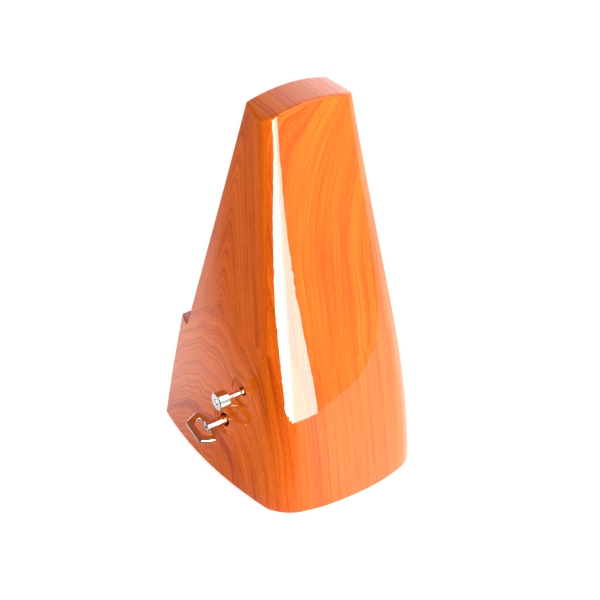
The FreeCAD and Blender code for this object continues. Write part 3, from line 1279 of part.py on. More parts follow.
def bell():
    """The cup bell, its post from the left plate and its nut."""
    bore, inside = "screw_radius + thread_gap", "bell_start + bell_wall"
    crown, shoulder, waist = (f"bell_radius * bell_{at}" for at in ("crown", "shoulder", "waist"))
    profile = [("bell_start", bore), ("bell_start", crown), ("bell_start + bell_shoulder_deep", shoulder),
               ("bell_start + bell_waist_deep", waist), ("bell_end - bell_lip", "bell_radius - bell_flare"),
               ("bell_end", "bell_radius"), ("bell_end", "bell_radius - bell_wall"),
               ("bell_end - bell_lip", "bell_radius - bell_wall - bell_flare"),
               ("bell_start + bell_waist_deep", f"{waist} - bell_wall"),
               (f"{inside} + bell_shoulder_deep", f"{shoulder} - bell_flare"), (inside, crown),
               (inside, bore)]
    named(turned(profile, (0, "bell_y", "bell_z")), "bell")
    profile = [("-plate_in - plate_thick", 0), ("-plate_in - plate_thick", "screw_radius"),
               ("-plate_in", "screw_radius"), ("-plate_in", "bell_post"), ("bell_start", "bell_post"),
               ("bell_start", "screw_radius"), (f"{inside} + bell_thread", "screw_radius"),
               (f"{inside} + bell_thread", 0)]
    named(turned(profile, (0, "bell_y", "bell_z")), "bell_post")
    near, reach, tall = size(inside), size("bell_nut"), size("bell_nut_tall")
    nut = Part.makePolygon([V(near, reach * math.cos(a), reach * math.sin(a))
                            for a in (math.radians(60 * k) for k in range(7))])
    shape = Part.Face(nut).extrude(V(tall, 0, 0)).cut(cross_rod(size(bore), near, near + tall, (0, 0)))
    feature("bell_nut", shape, FreeCAD.Placement(V(0, size("bell_y"), size("bell_z")), FreeCAD.Rotation()))


def hub_ends():
    """Both ends of the hammer's hub."""
    return size("hammer_arm_at - hub_left"), size("cam_first + hub_right")


def hammer():
    """The hammer turns on the selector rod: a hub, an arm to the bell and a follower at the cams."""
    spots = gear_spots()
    pivot, cams = spots["selector"], spots["cams"]
    arm_at, thick, wide = size("hammer_arm_at"), size("hammer_thick"), size("hammer_wide")
    head = (size("bell_y"), size("bell_z + bell_radius + strike_gap + head_radius"))
    left, right = hub_ends()
    hub = cross_rod(size("hammer_hub"), left, right, pivot)
    turn = toward(pivot, head)
    apart = math.hypot(head[0] - pivot[0], head[1] - pivot[1])
    arm = Part.makeBox(thick, apart, wide, V(arm_at - thick / 2, 0, -wide / 2))
    arm.rotate(V(0, 0, 0), X, math.degrees(turn))
    arm.translate(V(0, pivot[0], pivot[1]))
    back, tip = cams[0] + size("cam_radius + finger_gap"), cams[1] - size("follower_low")
    top, at = pivot[1] + size("follower_wide") / 2, size("cam_first") - thick / 2
    across = Part.makeBox(thick, back + thick - pivot[0], size("follower_wide"),
                          V(at, pivot[0], pivot[1] - size("follower_wide") / 2))
    down = Part.makeBox(thick, thick, top - tip, V(at, back, tip))
    bore = cross_rod(size("rod_radius + run_gap"), left, right, pivot)
    frame = hub.multiFuse([arm, across, down]).removeSplitter()
    near, far = arm_at - thick / 2, arm_at + thick / 2
    tail = cross_rod(size("hammer_eye"), near, far, head)
    hole = cross_rod(size("hammer_pin + thread_gap"), near, far, head)
    feature("hammer_arm", frame.fuse(tail).cut(bore.fuse(hole)))
    knocker = cross_rod(size("head_radius"), far, arm_at + size("head_end"), head)
    pin = cross_rod(size("hammer_pin"), near - size("hammer_pin_past"), far, head)
    feature("hammer_head", knocker.fuse(pin))


def selector():
    """Rod, collars and knob that slide together to choose the cam."""
    start, face = "rod_start", "knob_face"
    back = f"{face} - knob_long"
    rod_end, floor, bore = f"{back} + knob_socket", f"{face} - knob_bore_deep", "rod_radius + thread_gap"
    profile = [(start, 0), (start, "rod_radius"), (rod_end, "rod_radius"), (rod_end, 0)]
    named(turned(profile, (0, "knob_y", "knob_z")), "selector_rod")
    profile = [(back, bore), (back, "knob_radius - knob_edge"), (f"{back} + knob_edge", "knob_radius"),
               (f"{face} - knob_edge", "knob_radius"), (face, "knob_radius - knob_edge"), (face, "knob_bore"),
               (floor, "knob_bore"), (floor, 0), (f"{rod_end} + end_gap", 0), (f"{rod_end} + end_gap", bore)]
    named(turned(profile, (0, "knob_y", "knob_z")), "selector_knob")
    spot = gear_spots()["selector"]
    left, right = hub_ends()
    wide, gap = size("collar_wide"), size("end_gap")
    rings = []
    for low in (left - gap - wide, right + gap):
        ring = cross_rod(size("collar_radius"), low, low + wide, spot)
        rings.append(ring.cut(cross_rod(size(bore), low, low + wide, spot)))
    feature("rod_collars", Part.makeCompound(rings))


def winding_key():
    """The stem screws onto the winding arbor; the flat bow is brazed across it."""
    hole, end = "key_journal + thread_gap", "key_end"
    floor, thread = "key_end - stem_hole_deep", "stem_start + key_thread + end_shake"
    profile = [("stem_start", hole), ("stem_start", "stem_radius"), ("key_end - stem_edge", "stem_radius"),
               (end, "stem_radius - stem_edge"), (end, "stem_hole"), (floor, "stem_hole"), (floor, 0),
               (thread, 0), (thread, hole)]
    named(turned(profile, (0, "key_y", "key_z")), "key_stem")

    def ring(inset):
        near_share, wide_share = 0.8, 1.2
        near, far = size("bow_start") + inset * near_share, size("bow_end") - inset
        half = size("bow_half") - inset * wide_share
        neck, crown, widest = half * size("bow_neck"), half * size("bow_crown"), size("bow_shoulder")
        middle = near + (far - near) * widest
        return [V(near, -neck, 0), V(middle, -half, 0), V(far, -crown, 0),
                V(far, crown, 0), V(middle, half, 0), V(near, neck, 0)]

    def rounded(points, turn):
        shape = Part.Face(Part.makePolygon(points + points[:1])).extrude(V(0, 0, size("bow_thick")))
        upright = [e for e in shape.Edges if abs(e.tangentAt(e.FirstParameter).z) > 0.9]
        return shape.makeFillet(turn, upright)

    bow = rounded(ring(0), size("bow_corner")).cut(rounded(ring(size("bow_band")), size("bow_corner_in")))
    rims = [e for e in bow.Edges if abs(e.tangentAt(e.FirstParameter).z) < 0.1]
    bow = bow.makeFillet(size("bow_edge"), rims)
    bow.translate(V(0, 0, -size("bow_thick") / 2))
    stem = Part.makeCylinder(size("stem_radius + thread_gap"), size("key_end"), V(0, 0, 0), X)
    place = FreeCAD.Placement(V(0, size("key_y"), size("key_z")), FreeCAD.Rotation(X, size("bow_turn")))
    feature("key_bow", bow.cut(stem), place)


def check_and_write():
    doc.recompute()
    bad = [o.Label for o in doc.Objects if "Invalid" in o.State or "Error" in o.State]
    bad += [o.Label for o in nodes if o.Shape.isNull() or not o.Shape.isValid() or not o.Shape.Solids]
    if bad:
        raise RuntimeError(f"failed pieces: {bad}")
    os.makedirs("parts", exist_ok=True)
    for obj in nodes:
        obj.Shape.exportStep(f"parts/{obj.Label}.step")
        print(f"{obj.Label}: {len(obj.Shape.Solids)} solids, {obj.Shape.Volume:.1f} mm3")


for build in (case_shell, front_cover, base_plate, base_pads, base_screws, dial_panel, tempo_scale, dial_pins,
              pendulum_catch, pendulum_rod, pendulum_lower, pendulum_arbor, bearing_arms, tempo_weight,
              movement_plates, pillars, plate_screws, brackets, escape_cock, main_train, arbors, crown_wheel,
              ratchet_work, mainspring, cam_stack, bell, hammer, selector, winding_key, check_and_write):
    build()
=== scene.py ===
"""Pyramid metronome: finishes, printed tempo scale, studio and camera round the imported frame."""
import math

import bmesh
import bpy
from mathutils import Matrix, Vector


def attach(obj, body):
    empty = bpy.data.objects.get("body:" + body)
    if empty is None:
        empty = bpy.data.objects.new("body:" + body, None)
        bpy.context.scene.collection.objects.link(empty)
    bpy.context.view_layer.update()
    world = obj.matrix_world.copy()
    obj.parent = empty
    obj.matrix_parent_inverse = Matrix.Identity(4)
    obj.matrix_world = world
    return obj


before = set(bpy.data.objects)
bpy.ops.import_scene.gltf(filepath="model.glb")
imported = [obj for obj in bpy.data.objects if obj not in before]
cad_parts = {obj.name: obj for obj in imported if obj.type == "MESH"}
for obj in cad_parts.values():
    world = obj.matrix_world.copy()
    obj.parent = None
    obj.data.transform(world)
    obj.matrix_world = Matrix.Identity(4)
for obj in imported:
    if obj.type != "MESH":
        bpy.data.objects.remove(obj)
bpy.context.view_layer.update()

MM = 0.001

# ---- the sloping front -----------------------------------------------------------------------

FRONT_FOOT, FRONT_HEAD, HEIGHT = -57.3, -7.77, 218.0
SLOPE = math.atan((FRONT_HEAD - FRONT_FOOT) / HEIGHT)
# from millimetres across, behind the face and up the slope
FRONT = (Matrix.Translation((0, FRONT_FOOT * MM, 0)) @ Matrix.Rotation(-SLOPE, 4, "X")
         @ Matrix.Scale(MM, 4))


# ---- finishes --------------------------------------------------------------------------------

class Wire:
    """A number socket of a finish; sums, products and powers of wires add Math nodes."""

    def __init__(self, finish, socket):
        self.finish, self.socket = finish, socket

    def math(self, operation, *values):
        return self.finish.node("Math", {"operation": operation}, dict(enumerate(values)))

    def above_zero(self):
        return self.math("MAXIMUM", self, 0.0)

    def __add__(self, other):
        return self.math("ADD", self, other)

    def __sub__(self, other):
        return self.math("SUBTRACT", self, other)

    def __rsub__(self, other):
        return self.math("SUBTRACT", other, self)

    def __mul__(self, other):
        return self.math("MULTIPLY", self, other)

    def __pow__(self, other):
        return self.math("POWER", self, other)

    __radd__, __rmul__ = __add__, __mul__


class Finish:
    """One material: a Principled surface on Object coordinates, with what varies wired in."""

    def __init__(self, name, **constants):
        self.material = bpy.data.materials.new(name)
        self.material.use_nodes = True
        self.tree = self.material.node_tree
        self.surface = self.tree.nodes["Principled BSDF"]
        self.place = self.node("TexCoord", out="Object")
        for socket, value in constants.items():
            self.surface.inputs[socket.replace("_", " ")].default_value = value

    def node(self, kind, settings=None, sockets=None, out=0):
        """Adds a node: its settings first, then the values or wires of its sockets."""
        node = self.tree.nodes.new("ShaderNode" + kind)
        for name, value in (settings or {}).items():
            if name == "stops":
                stops = node.color_ramp.elements
                while len(stops) < len(value):
                    stops.new(1.0)
                for stop, (at, colour) in zip(stops, value):
                    stop.position, stop.color = at, (*colour, 1.0)
            else:
                setattr(node, name, value)
        for name, value in (sockets or {}).items():
            if isinstance(value, Wire):
                self.tree.links.new(value.socket, node.inputs[name])
            else:
                node.inputs[name].default_value = value
        return Wire(self, node.outputs[out])

    def parts(self, vector):
        """The x, y and z of a vector."""
        node = self.node("SeparateXYZ", None, {"Vector": vector}).socket.node
        return [Wire(self, node.outputs[n]) for n in range(3)]

    def joined(self, x, y, z):
        return self.node("CombineXYZ", None, {"X": x, "Y": y, "Z": z})

    def scaled(self, scale):
        """Object coordinates in millimetres, times a scale along each axis."""
        return self.node("Mapping", {"vector_type": "POINT"},
                         {"Vector": self.place, "Scale": [s / MM for s in scale]})

    def noise(self, scale, detail=2.0, rough=0.5, place=None):
        """Even noise, its scale given along each axis in features per millimetre."""
        return self.node("TexNoise", {"noise_dimensions": "3D"},
                         {"Vector": place or self.scaled(scale), "Scale": 1.0, "Detail": detail,
                          "Roughness": rough}, "Fac")

    def sway(self, scale, detail, reach):
        """Noise about zero, its whole reach in millimetres."""
        return (self.noise(scale, detail) - 0.5) * reach

    def ramp(self, value, *stops):
        return self.node("ValToRGB", {"stops": stops}, {"Fac": value}, "Color")

    def range(self, value, low, high, to_low=0.0, to_high=1.0):
        """A soft step from to_low to to_high as the value goes from low to high."""
        return self.node("MapRange", {"clamp": True, "interpolation_type": "SMOOTHSTEP"},
                         {"Value": value, "From Min": low, "From Max": high, "To Min": to_low,
                          "To Max": to_high})

    def between(self, share, one, two):
        """A number between two others."""
        return self.node("Mix", {"data_type": "FLOAT"}, {0: share, 2: one, 3: two})

    def mix(self, share, one, two):
        """A colour between two others, as wires or (r, g, b) values."""
        node = self.tree.nodes.new("ShaderNodeMix")
        node.data_type = "RGBA"
        for socket, value in ((node.inputs[0], share), (node.inputs[6], one), (node.inputs[7], two)):
            if isinstance(value, Wire):
                self.tree.links.new(value.socket, socket)
            else:
                socket.default_value = value if isinstance(value, (int, float)) else (*value, 1.0)
        return Wire(self, node.outputs[2])

    def bump(self, height, strength, depth):
        """A surface raised by a wire, its depth in millimetres."""
        return self.node("Bump", None, {"Height": height, "Strength": strength,
                                        "Distance": depth * MM}, "Normal")

    def wire(self, **links):
        for socket, value in links.items():
            self.tree.links.new(value.socket, self.surface.inputs[socket.replace("_", " ")])
        return self.material


# the walls that the grain follows, in millimetres; an edge is where one run of grain takes over
BACK_FOOT, BACK_LEAN, BACK_EDGE = 49.0, 0.174, (1.0, 6.0)
FRONT_LEAN, FRONT_EDGE = 0.227, (0.3, 1.5)
DOME_CENTRE, DOME_EDGE = 149.0, (67.4, 68.5)
DOME_PITCH = -1.3

# the back's grain leans over above one height and below another
RISE_FROM, RISE_ACROSS, RISE_LEAN = 128.0, (45.0, -25.0), 0.0046
FALL_FROM, FALL_ACROSS, FALL_LEAN = 75.0, (-48.0, 8.0), 0.0055

# the arches on the side walls
ARCH_MIDDLE, ARCH_ROUND, ARCH_STEEP, ARCH_WANDER = -8.0, 32.0, 0.21, 0.6

# rings per millimetre, changes up the wall, place in the noise, detail, roughness, soft step, share
GRAINS = ((0.13, 0.004, 3.0, 2.0, 0.5, (0.32, 0.68), 0.24),
          (0.75, 0.006, 7.0, 3.0, 0.6, (0.34, 0.68), 0.32),
          (3.1, 0.02, 11.0, 3.0, 0.65, (0.38, 0.64), 0.40))
FIBRE_SCALE, FIBRE_STEP, FIBRE_SHARE = (2.8, 2.8, 0.07), (0.38, 0.66), 0.22
WOOD_TONES = ((0.0, (0.830, 0.200, 0.012)), (0.40, (0.740, 0.132, 0.006)),
              (0.70, (0.610, 0.090, 0.003)), (1.0, (0.400, 0.040, 0.002)))
KNOT_COLOUR, KNOT_SHARE = (0.34, 0.040, 0.004), 0.45
LACQUER_IOR, LACQUER_ROUGH = 1.5, (0.015, 0.05)


def wood_gloss():
    """Orange wood-grain film under clear lacquer: straight grain behind, arches on the sides."""
    f = Finish("wood_gloss", IOR=LACQUER_IOR)
    x, y, z = f.parts(f.scaled((1, 1, 1)))
    beside = (f.range(BACK_FOOT - z * BACK_LEAN - y, *BACK_EDGE)
              * f.range(y - FRONT_FOOT - z * FRONT_LEAN, *FRONT_EDGE))
    over = f.range((x * x + (z - DOME_CENTRE) ** 2.0) ** 0.5, *DOME_EDGE)

    drift = f.sway((0.022, 0.022, 0.008), 2.0, 9.0)
    wander = f.sway((0.05, 0.05, 0.014), 1.0, 3.2)
    rise, fall = (z - RISE_FROM).above_zero(), (FALL_FROM - z).above_zero()
    lean = (rise * rise * f.range(x, *RISE_ACROSS, to_high=RISE_LEAN)
            + fall * fall * f.range(x, *FALL_ACROSS, to_high=FALL_LEAN))
    behind = 0.0 - x - lean + drift + wander
    across = y - ARCH_MIDDLE + drift
    arches = (across * across + ARCH_ROUND) ** 0.5 + z * ARCH_STEEP + wander * ARCH_WANDER
    ring = f.between(over, f.between(beside, behind, arches), x * DOME_PITCH + wander)

    tone = f.range(f.noise(FIBRE_SCALE, 3.0, 0.65), *FIBRE_STEP) * FIBRE_SHARE
    for rings, change, spot, detail, rough, step, share in GRAINS:
        lines = f.noise(None, detail, rough, f.joined(ring * rings, z * change, spot))
        tone = tone + f.range(lines, *step) * share
    knots = f.range(f.noise((0.9, 0.9, 0.9), 3.0, 0.7), 0.58, 0.72) * beside
    colour = f.mix(knots * KNOT_SHARE, f.ramp(tone, *WOOD_TONES), KNOT_COLOUR)
    ripple = f.noise((0.34, 0.34, 0.34), 2.0)
    smear = f.noise((0.04, 0.04, 0.03), 3.0, 0.6)
    return f.wire(Base_Color=colour, Roughness=f.range(smear, 0.45, 0.75, *LACQUER_ROUGH),
                  Normal=f.bump(ripple, strength=0.03, depth=0.008))


def moulded(name, colour, rough, grain, depth):
    """Moulded plastic with a fine etched grain."""
    f = Finish(name, Roughness=rough)
    tone = f.noise((0.08, 0.08, 0.08), 3.0)
    etched = f.noise((grain, grain, grain), 3.0, 0.6)
    light = tuple(min(1.0, c * 1.35 + 0.003) for c in colour)
    return f.wire(Base_Color=f.mix(f.range(tone, 0.3, 0.7), colour, light),
                  Roughness=f.range(etched, 0.3, 0.7, rough - 0.06, rough + 0.08),
                  Normal=f.bump(etched, 0.35, depth))


def metal(name, colour, rough, brush, tarnish, depth=0.004):
    """Metal with brush or lathe marks along its longest grain and a little tarnish."""
    f = Finish(name, Metallic=1.0)
    marks = f.noise(brush, 3.0, 0.65)
    cloud = f.noise((0.11, 0.13, 0.12), 3.0, 0.6)
    dull = tuple(c * (1 - tarnish) ** (1.0 + n * 0.6) for n, c in enumerate(colour))
    brushed = f.range(marks, 0.25, 0.75, rough * 0.7, rough * 1.35)
    clouded = f.range(cloud, 0.4, 0.8) * rough * 0.25
    return f.wire(Base_Color=f.mix(f.range(cloud, 0.35, 0.75), colour, dull),
                  Roughness=brushed + clouded, Normal=f.bump(marks, 0.25, depth))


def clear_cover():
    """Clear moulded plastic, denser where it is seen edge on, with a painted grey shade there."""
    f = Finish("clear_cover", Roughness=0.03, IOR=1.49)
    edge = f.node("LayerWeight", None, {"Blend": 0.30}, "Facing")
    haze = f.noise((0.05, 0.05, 0.05), 2.0)
    # painted shade: the colour turns grey where the surface is seen edge on
    edge_shade_tint = f.mix(edge, (0.80, 0.82, 0.83), (0.34, 0.36, 0.38))
    return f.wire(Base_Color=f.mix(haze * 0.3, edge_shade_tint, (0.95, 0.96, 0.96)),
                  Alpha=edge ** 3.0 * 0.40 + 0.05)


def printed(name, colour):
    """Flat printing ink, slightly worn."""
    f = Finish(name, Roughness=0.5)
    worn = f.noise((1.2, 1.2, 1.2), 2.0)
    lifted = tuple(c + 0.03 for c in colour)
    return f.wire(Base_Color=f.mix(f.range(worn, 0.35, 0.75), colour, lifted))


def finish_name(material):
    """A finish's name, without the number that a second one of that name gets."""
    return material.name.split(".")[0]


FINISHES = {finish_name(material): material for material in (
    wood_gloss(),
    moulded("dial_dark", (0.022, 0.018, 0.016), rough=0.42, grain=2.2, depth=0.02),
    metal("scale_silver", (0.60, 0.60, 0.585), 0.42, (3.0, 3.0, 0.05), tarnish=0.05, depth=0.003),
    clear_cover(),
    moulded("base_black", (0.020, 0.020, 0.021), rough=0.5, grain=1.6, depth=0.04),
    moulded("pad_rubber", (0.055, 0.053, 0.050), rough=0.82, grain=3.0, depth=0.05),
    metal("chrome", (0.88, 0.86, 0.85), 0.06, (0.25, 0.25, 0.25), tarnish=0.03, depth=0.0),
    metal("steel", (0.60, 0.60, 0.61), 0.27, (0.06, 2.5, 2.5), tarnish=0.14),
    metal("brass", (0.76, 0.53, 0.19), 0.24, (2.0, 2.0, 0.07), tarnish=0.20),
    metal("plate_steel", (0.68, 0.69, 0.70), 0.32, (2.0, 0.06, 2.0), tarnish=0.10),
    metal("bell_nickel", (0.74, 0.71, 0.65), 0.13, (2.5, 0.4, 0.4), tarnish=0.06, depth=0.002),
    metal("bob_iron", (0.20, 0.195, 0.19), 0.52, (1.3, 1.3, 1.3), tarnish=0.25, depth=0.05),
)}
INK = printed("scale_ink", (0.012, 0.012, 0.014))

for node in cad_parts.values():
    for holder in node.material_slots:
        if holder.material and finish_name(holder.material) in FINISHES:
            holder.material = FINISHES[finish_name(holder.material)]


# ---- mesh helpers ----------------------------------------------------------------------------

def placed(name, data):
    """A new object in the scene, at the origin."""
    obj = bpy.data.objects.new(name, data)
    bpy.context.scene.collection.objects.link(obj)
    return obj


def piece(name, mesh, material, body):
    """A finished piece at the origin, riding a body."""
    mesh.materials.clear()
    mesh.materials.append(material)
    obj = placed(name, mesh)
    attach(obj, body)
    return obj


def plain_copy(obj):
    """The evaluated shape of an object as a mesh of its own; the object itself is removed."""
    bpy.context.view_layer.update()
    evaluated = obj.evaluated_get(bpy.context.evaluated_depsgraph_get())
    mesh = bpy.data.meshes.new_from_object(evaluated)
    bpy.data.objects.remove(obj)
    return mesh


def poured(whole, name):
    """A new mesh from a finished bmesh."""
    mesh = bpy.data.meshes.new(name)
    whole.to_mesh(mesh)
    whole.free()
    return mesh


# ---- tempo scale, in millimetres -------------------------------------------------------------

TEMPO_STEPS = ((40, 60, 2), (63, 72, 3), (76, 120, 4), (126, 144, 6), (152, 208, 8))
TEMPOS = [beat for low, high, step in TEMPO_STEPS for beat in range(low, high + 1, step)]
SLOW_UP, FAST_UP, WEIGHT_TALL = 186.0, 86.0, 14.0
SCALE_FACE, SCALE_LOW, SCALE_HIGH = 0.6, 79, 192
TICK_START, TICK_LONG, MARGIN_OUT = 3.2, 3.2, 9.0
LINE_WIDE, LINE_THICK = 0.16, 0.02
NUMBER_OUT, NUMBER_TALL, NUMBER_NARROW, NUMBER_THICK = 7.85, 2.5, 0.86, 0.012


def mark_height(beat):
    """Where the weight's upper edge stands for a tempo, up the slope."""
    slowest, fastest = TEMPOS[0], TEMPOS[-1]
    share = math.log(fastest / beat) / math.log(fastest / slowest)
    return FAST_UP + (SLOW_UP - FAST_UP) * share + WEIGHT_TALL / 2


# each tempo with its side of the rod, left and right in turn, and its height
MARKS = [(beat, -1 if n % 2 == 0 else 1, mark_height(beat)) for n, beat in enumerate(TEMPOS)]


def tick_tree():
    """Bars of ink on points: one flat bar a point, as long as the point says."""
    tree = bpy.data.node_groups.new("tempo_ticks", "GeometryNodeTree")
    for name, kind, way in (("Points", "NodeSocketGeometry", "INPUT"),
                            ("Width", "NodeSocketFloat", "INPUT"),
                            ("Height", "NodeSocketFloat", "INPUT"),
                            ("Ink", "NodeSocketMaterial", "INPUT"),
                            ("Bars", "NodeSocketGeometry", "OUTPUT")):
        tree.interface.new_socket(name, in_out=way, socket_type=kind)
    start, end = tree.nodes.new("NodeGroupInput"), tree.nodes.new("NodeGroupOutput")
    bar = tree.nodes.new("GeometryNodeMeshCube")
    size = tree.nodes.new("ShaderNodeCombineXYZ")
    size.inputs["X"].default_value = 1.0
    length = tree.nodes.new("GeometryNodeInputNamedAttribute")
    length.data_type = "FLOAT"
    length.inputs["Name"].default_value = "length"
    stretch = tree.nodes.new("ShaderNodeCombineXYZ")
    stretch.inputs["Y"].default_value = stretch.inputs["Z"].default_value = 1.0
    spread = tree.nodes.new("GeometryNodeInstanceOnPoints")
    solid = tree.nodes.new("GeometryNodeRealizeInstances")
    paint = tree.nodes.new("GeometryNodeSetMaterial")
    for one, two in (((start, "Width"), (size, "Z")), ((start, "Height"), (size, "Y")),
                     ((size, 0), (bar, "Size")), ((start, "Points"), (spread, "Points")),
                     ((bar, "Mesh"), (spread, "Instance")), ((length, "Attribute"), (stretch, "X")),
                     ((stretch, 0), (spread, "Scale")), ((spread, "Instances"), (solid, "Geometry")),
                     ((solid, "Geometry"), (paint, "Geometry")), ((start, "Ink"), (paint, "Material")),
                     ((paint, "Geometry"), (end, "Bars"))):
        tree.links.new(one[0].outputs[one[1]], two[0].inputs[two[1]])
    return tree


def tempo_ticks():
    """One tick beside the rod for each tempo, and a dot half way up each margin."""
    out, behind = TICK_START + TICK_LONG / 2, SCALE_FACE - LINE_THICK / 2
    spots = [(side * out, behind, up) for beat, side, up in MARKS]
    spots += [(side * MARGIN_OUT, behind, (SCALE_LOW + SCALE_HIGH) / 2) for side in (-1, 1)]
    points = bpy.data.meshes.new("tick_points")
    points.from_pydata(spots, [], [])
    lengths = [TICK_LONG] * len(MARKS) + [LINE_WIDE] * 2
    points.attributes.new("length", "FLOAT", "POINT").data.foreach_set("value", lengths)
    maker = placed("tick_maker", points)
    tree = tick_tree()
    nodes = maker.modifiers.new("ticks", "NODES")
    nodes.node_group = tree
    values = {"Width": LINE_WIDE, "Height": LINE_THICK, "Ink": INK}
    for item in tree.interface.items_tree:
        if item.in_out == "INPUT" and item.name in values:
            nodes[item.identifier] = values[item.name]
    mesh = plain_copy(maker)
    mesh.transform(FRONT)
    return piece("tempo_ticks", mesh, INK, "case")


def tempo_numbers():
    """The number beside each tick."""
    whole = bmesh.new()
    upright = Matrix.Rotation(math.radians(90), 4, "X")
    narrow = Matrix.Diagonal((NUMBER_NARROW, 1.0, 1.0, 1.0))
    for beat, side, up in MARKS:
        curve = bpy.data.curves.new("number", "FONT")
        curve.body, curve.size = str(beat), NUMBER_TALL
        curve.align_x = curve.align_y = "CENTER"
        curve.resolution_u, curve.extrude = 2, NUMBER_THICK
        mesh = plain_copy(placed("number", curve))
        stand = Matrix.Translation((side * NUMBER_OUT, SCALE_FACE - NUMBER_THICK, up))
        mesh.transform(FRONT @ (stand @ upright @ narrow))
        whole.from_mesh(mesh)
        bpy.data.meshes.remove(mesh)
    return piece("tempo_numbers", poured(whole, "tempo_numbers"), INK, "case")


tempo_ticks()
tempo_numbers()


# ---- studio, in metres -----------------------------------------------------------------------

ALL_RAYS = ("camera", "diffuse", "glossy", "transmission", "volume_scatter", "shadow")


def on_stage(name, mesh, material, *rays):
    """A stage piece that only the named rays meet."""
    mesh.materials.append(material)
    obj = placed(name, mesh)
    for ray in ALL_RAYS:
        setattr(obj, f"visible_{ray}", ray in rays)


def stage_sheet(name, corners, material, *rays):
    """A flat stage piece with the given corners."""
    mesh = bpy.data.meshes.new(name)
    mesh.from_pydata(corners, [], [tuple(range(len(corners)))])
    on_stage(name, mesh, material, *rays)


def stage_round(name, radius, material, *rays):
    """A large sphere round the set."""
    whole = bmesh.new()
    bmesh.ops.create_uvsphere(whole, u_segments=48, v_segments=24, radius=radius)
    on_stage(name, poured(whole, name), material, *rays)


def glowing(name, strength, level=None):
    """A glow of a given strength; level turns the finish into a share of it."""
    f = Finish(name, Base_Color=(0, 0, 0, 1), Roughness=1.0, Specular_IOR_Level=0.0,
               Emission_Color=(1, 1, 1, 1), Emission_Strength=strength)
    return f.wire(Emission_Color=f.mix(level(f), (0, 0, 0), (1, 1, 1))) if level else f.material


def table_level(f):
    """The mirrored table: pale on the left, dim by the key and brighter again in front."""
    x, y = f.parts(f.place)[:2]
    right = (f.range(y, 0.01, -0.10, 0.07, 0.46) * f.range(x, 0.085, 0.19, 1.0, 0.14)
             * f.range(y, -1.1, -0.6))
    left = (f.range(x, 0.07, -0.01, 0.0, 0.56) * f.range(x, -1.1, -0.5)
            * f.range(y, -0.06, 0.04, 0.12, 1.0))
    return right + left


def strip_level(f):
    """The mirrored window strip: it fades towards low x."""
    return f.range(f.parts(f.place)[0], 0.03, 0.13, 0.50, 1.0)


# direction, cosine where a glow starts, cosine of its core, brightness
ROOM_GLOWS = (((-0.76, -0.64, 0.12), 0.42, 1.0, 0.55),
              ((-0.57, 0.81, -0.14), 0.55, 1.0, 0.15),
              ((-0.4, 0.45, 0.8), 0.78, 0.95, 0.5))
ROOM_DIM = 0.012


def round_level(f):
    """The mirrored room: dim, with soft glows low in front on the left, behind and overhead."""
    way = f.node("VectorMath", {"operation": "NORMALIZE"}, {0: f.place})
    level = ROOM_DIM
    for aim, edge, core, bright in ROOM_GLOWS:
        toward = tuple(Vector(aim).normalized())
        share = f.node("VectorMath", {"operation": "DOT_PRODUCT"}, {0: way, 1: toward}, "Value")
        level = level + f.range(share, edge, core, 0.0, bright)
    return level


FAR, FLOOR_LEVEL, TABLE_LEVEL, STRIP_BACK = 8.0, -0.0002, -0.0001, 0.235
FLOOR_EDGE = ((-FAR, -FAR), (FAR, -FAR), (FAR, FAR), (-FAR, FAR))
TABLE_EDGE = ((-1.2, -1.2), (0.5, -1.2), (0.5, 0.195), (0.06, 0.204), (0.0, 0.212),
              (-0.08, 0.222), (-0.2, 0.228), (-0.3, 0.26), (-1.2, 0.26))
STRIP_EDGE = ((-0.02, -0.05), (0.165, -0.05), (0.165, 0.0), (0.24, 0.07), (0.185, 0.13),
              (0.10, 0.17), (0.10, 0.4), (0.035, 0.4), (0.01, 0.17), (-0.008, 0.10),
              (-0.018, 0.05), (-0.024, 0.0))

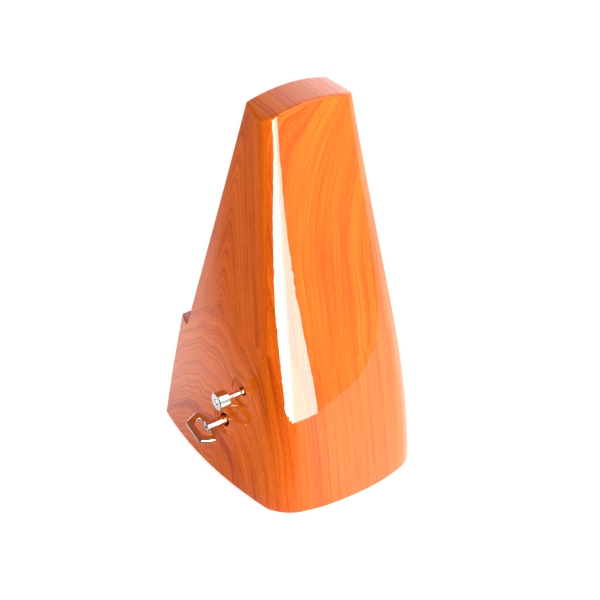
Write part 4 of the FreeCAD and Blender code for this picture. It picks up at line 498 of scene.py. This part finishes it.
pale_floor = Finish("pale_floor", Base_Color=(0.93, 0.93, 0.93, 1), Roughness=0.9,
                    Specular_IOR_Level=0.0, Emission_Color=(1, 1, 1, 1),
                    Emission_Strength=0.5).material
stage_sheet("floor", [(x, y, FLOOR_LEVEL) for x, y in FLOOR_EDGE], pale_floor,
            "camera", "diffuse", "transmission", "shadow")
stage_sheet("table_glow", [(x, y, TABLE_LEVEL) for x, y in TABLE_EDGE],
            glowing("table_glow", 3.0, table_level), "glossy")
stage_sheet("strip_glow", [(x, STRIP_BACK, z) for x, z in STRIP_EDGE],
            glowing("strip_glow", 30.0, strip_level), "glossy")
stage_round("room_glow", 6.0, glowing("room_glow", 4.0, round_level), "glossy")
stage_round("backdrop", 7.5, glowing("backdrop", 1.0), "camera")

LIGHT_AIM = Vector((0, 0, 0.10))


def softbox(name, azimuth, elevation, distance, size, radiance):
    """A soft panel of a given radiance, facing the object from a direction; it isn't mirrored."""
    light = bpy.data.lights.new(name, "AREA")
    light.shape, light.size, light.size_y = "RECTANGLE", *size
    light.energy = radiance * math.pi * size[0] * size[1]
    obj = placed(name, light)
    a, e = math.radians(azimuth), math.radians(elevation)
    way = Vector((math.cos(a) * math.cos(e), math.sin(a) * math.cos(e), math.sin(e)))
    obj.location = LIGHT_AIM + way * distance
    obj.rotation_euler = way.to_track_quat("Z", "Y").to_euler()
    obj.visible_camera = obj.visible_glossy = False


softbox("key_box", azimuth=122.0, elevation=10.0, distance=1.4, size=(1.1, 0.8), radiance=10.5)
softbox("over_box", azimuth=10.0, elevation=75.0, distance=1.7, size=(1.8, 1.8), radiance=0.8)

ROOM_GREY = (0.55, 0.55, 0.55, 1)
world = bpy.data.worlds.new("studio")
world.use_nodes = True
world.node_tree.nodes["Background"].inputs["Color"].default_value = ROOM_GREY
bpy.context.scene.world = world
bpy.context.scene.view_settings.view_transform = "Standard"

CAMERA_PLACE, CAMERA_AIM = Vector((0.37407, 0.57499, 0.58587)), Vector((0, 0, 0.109))
camera = bpy.data.cameras.new("camera")
camera.sensor_width, camera.lens = 36.0, 96.432
camera.shift_x, camera.shift_y = 0.00475, -0.0417
camera.clip_start, camera.clip_end = 0.01, 50.0
eye = placed("camera", camera)
eye.location = CAMERA_PLACE
eye.rotation_euler = (CAMERA_PLACE - CAMERA_AIM).to_track_quat("Z", "Y").to_euler()
bpy.context.scene.camera = eye
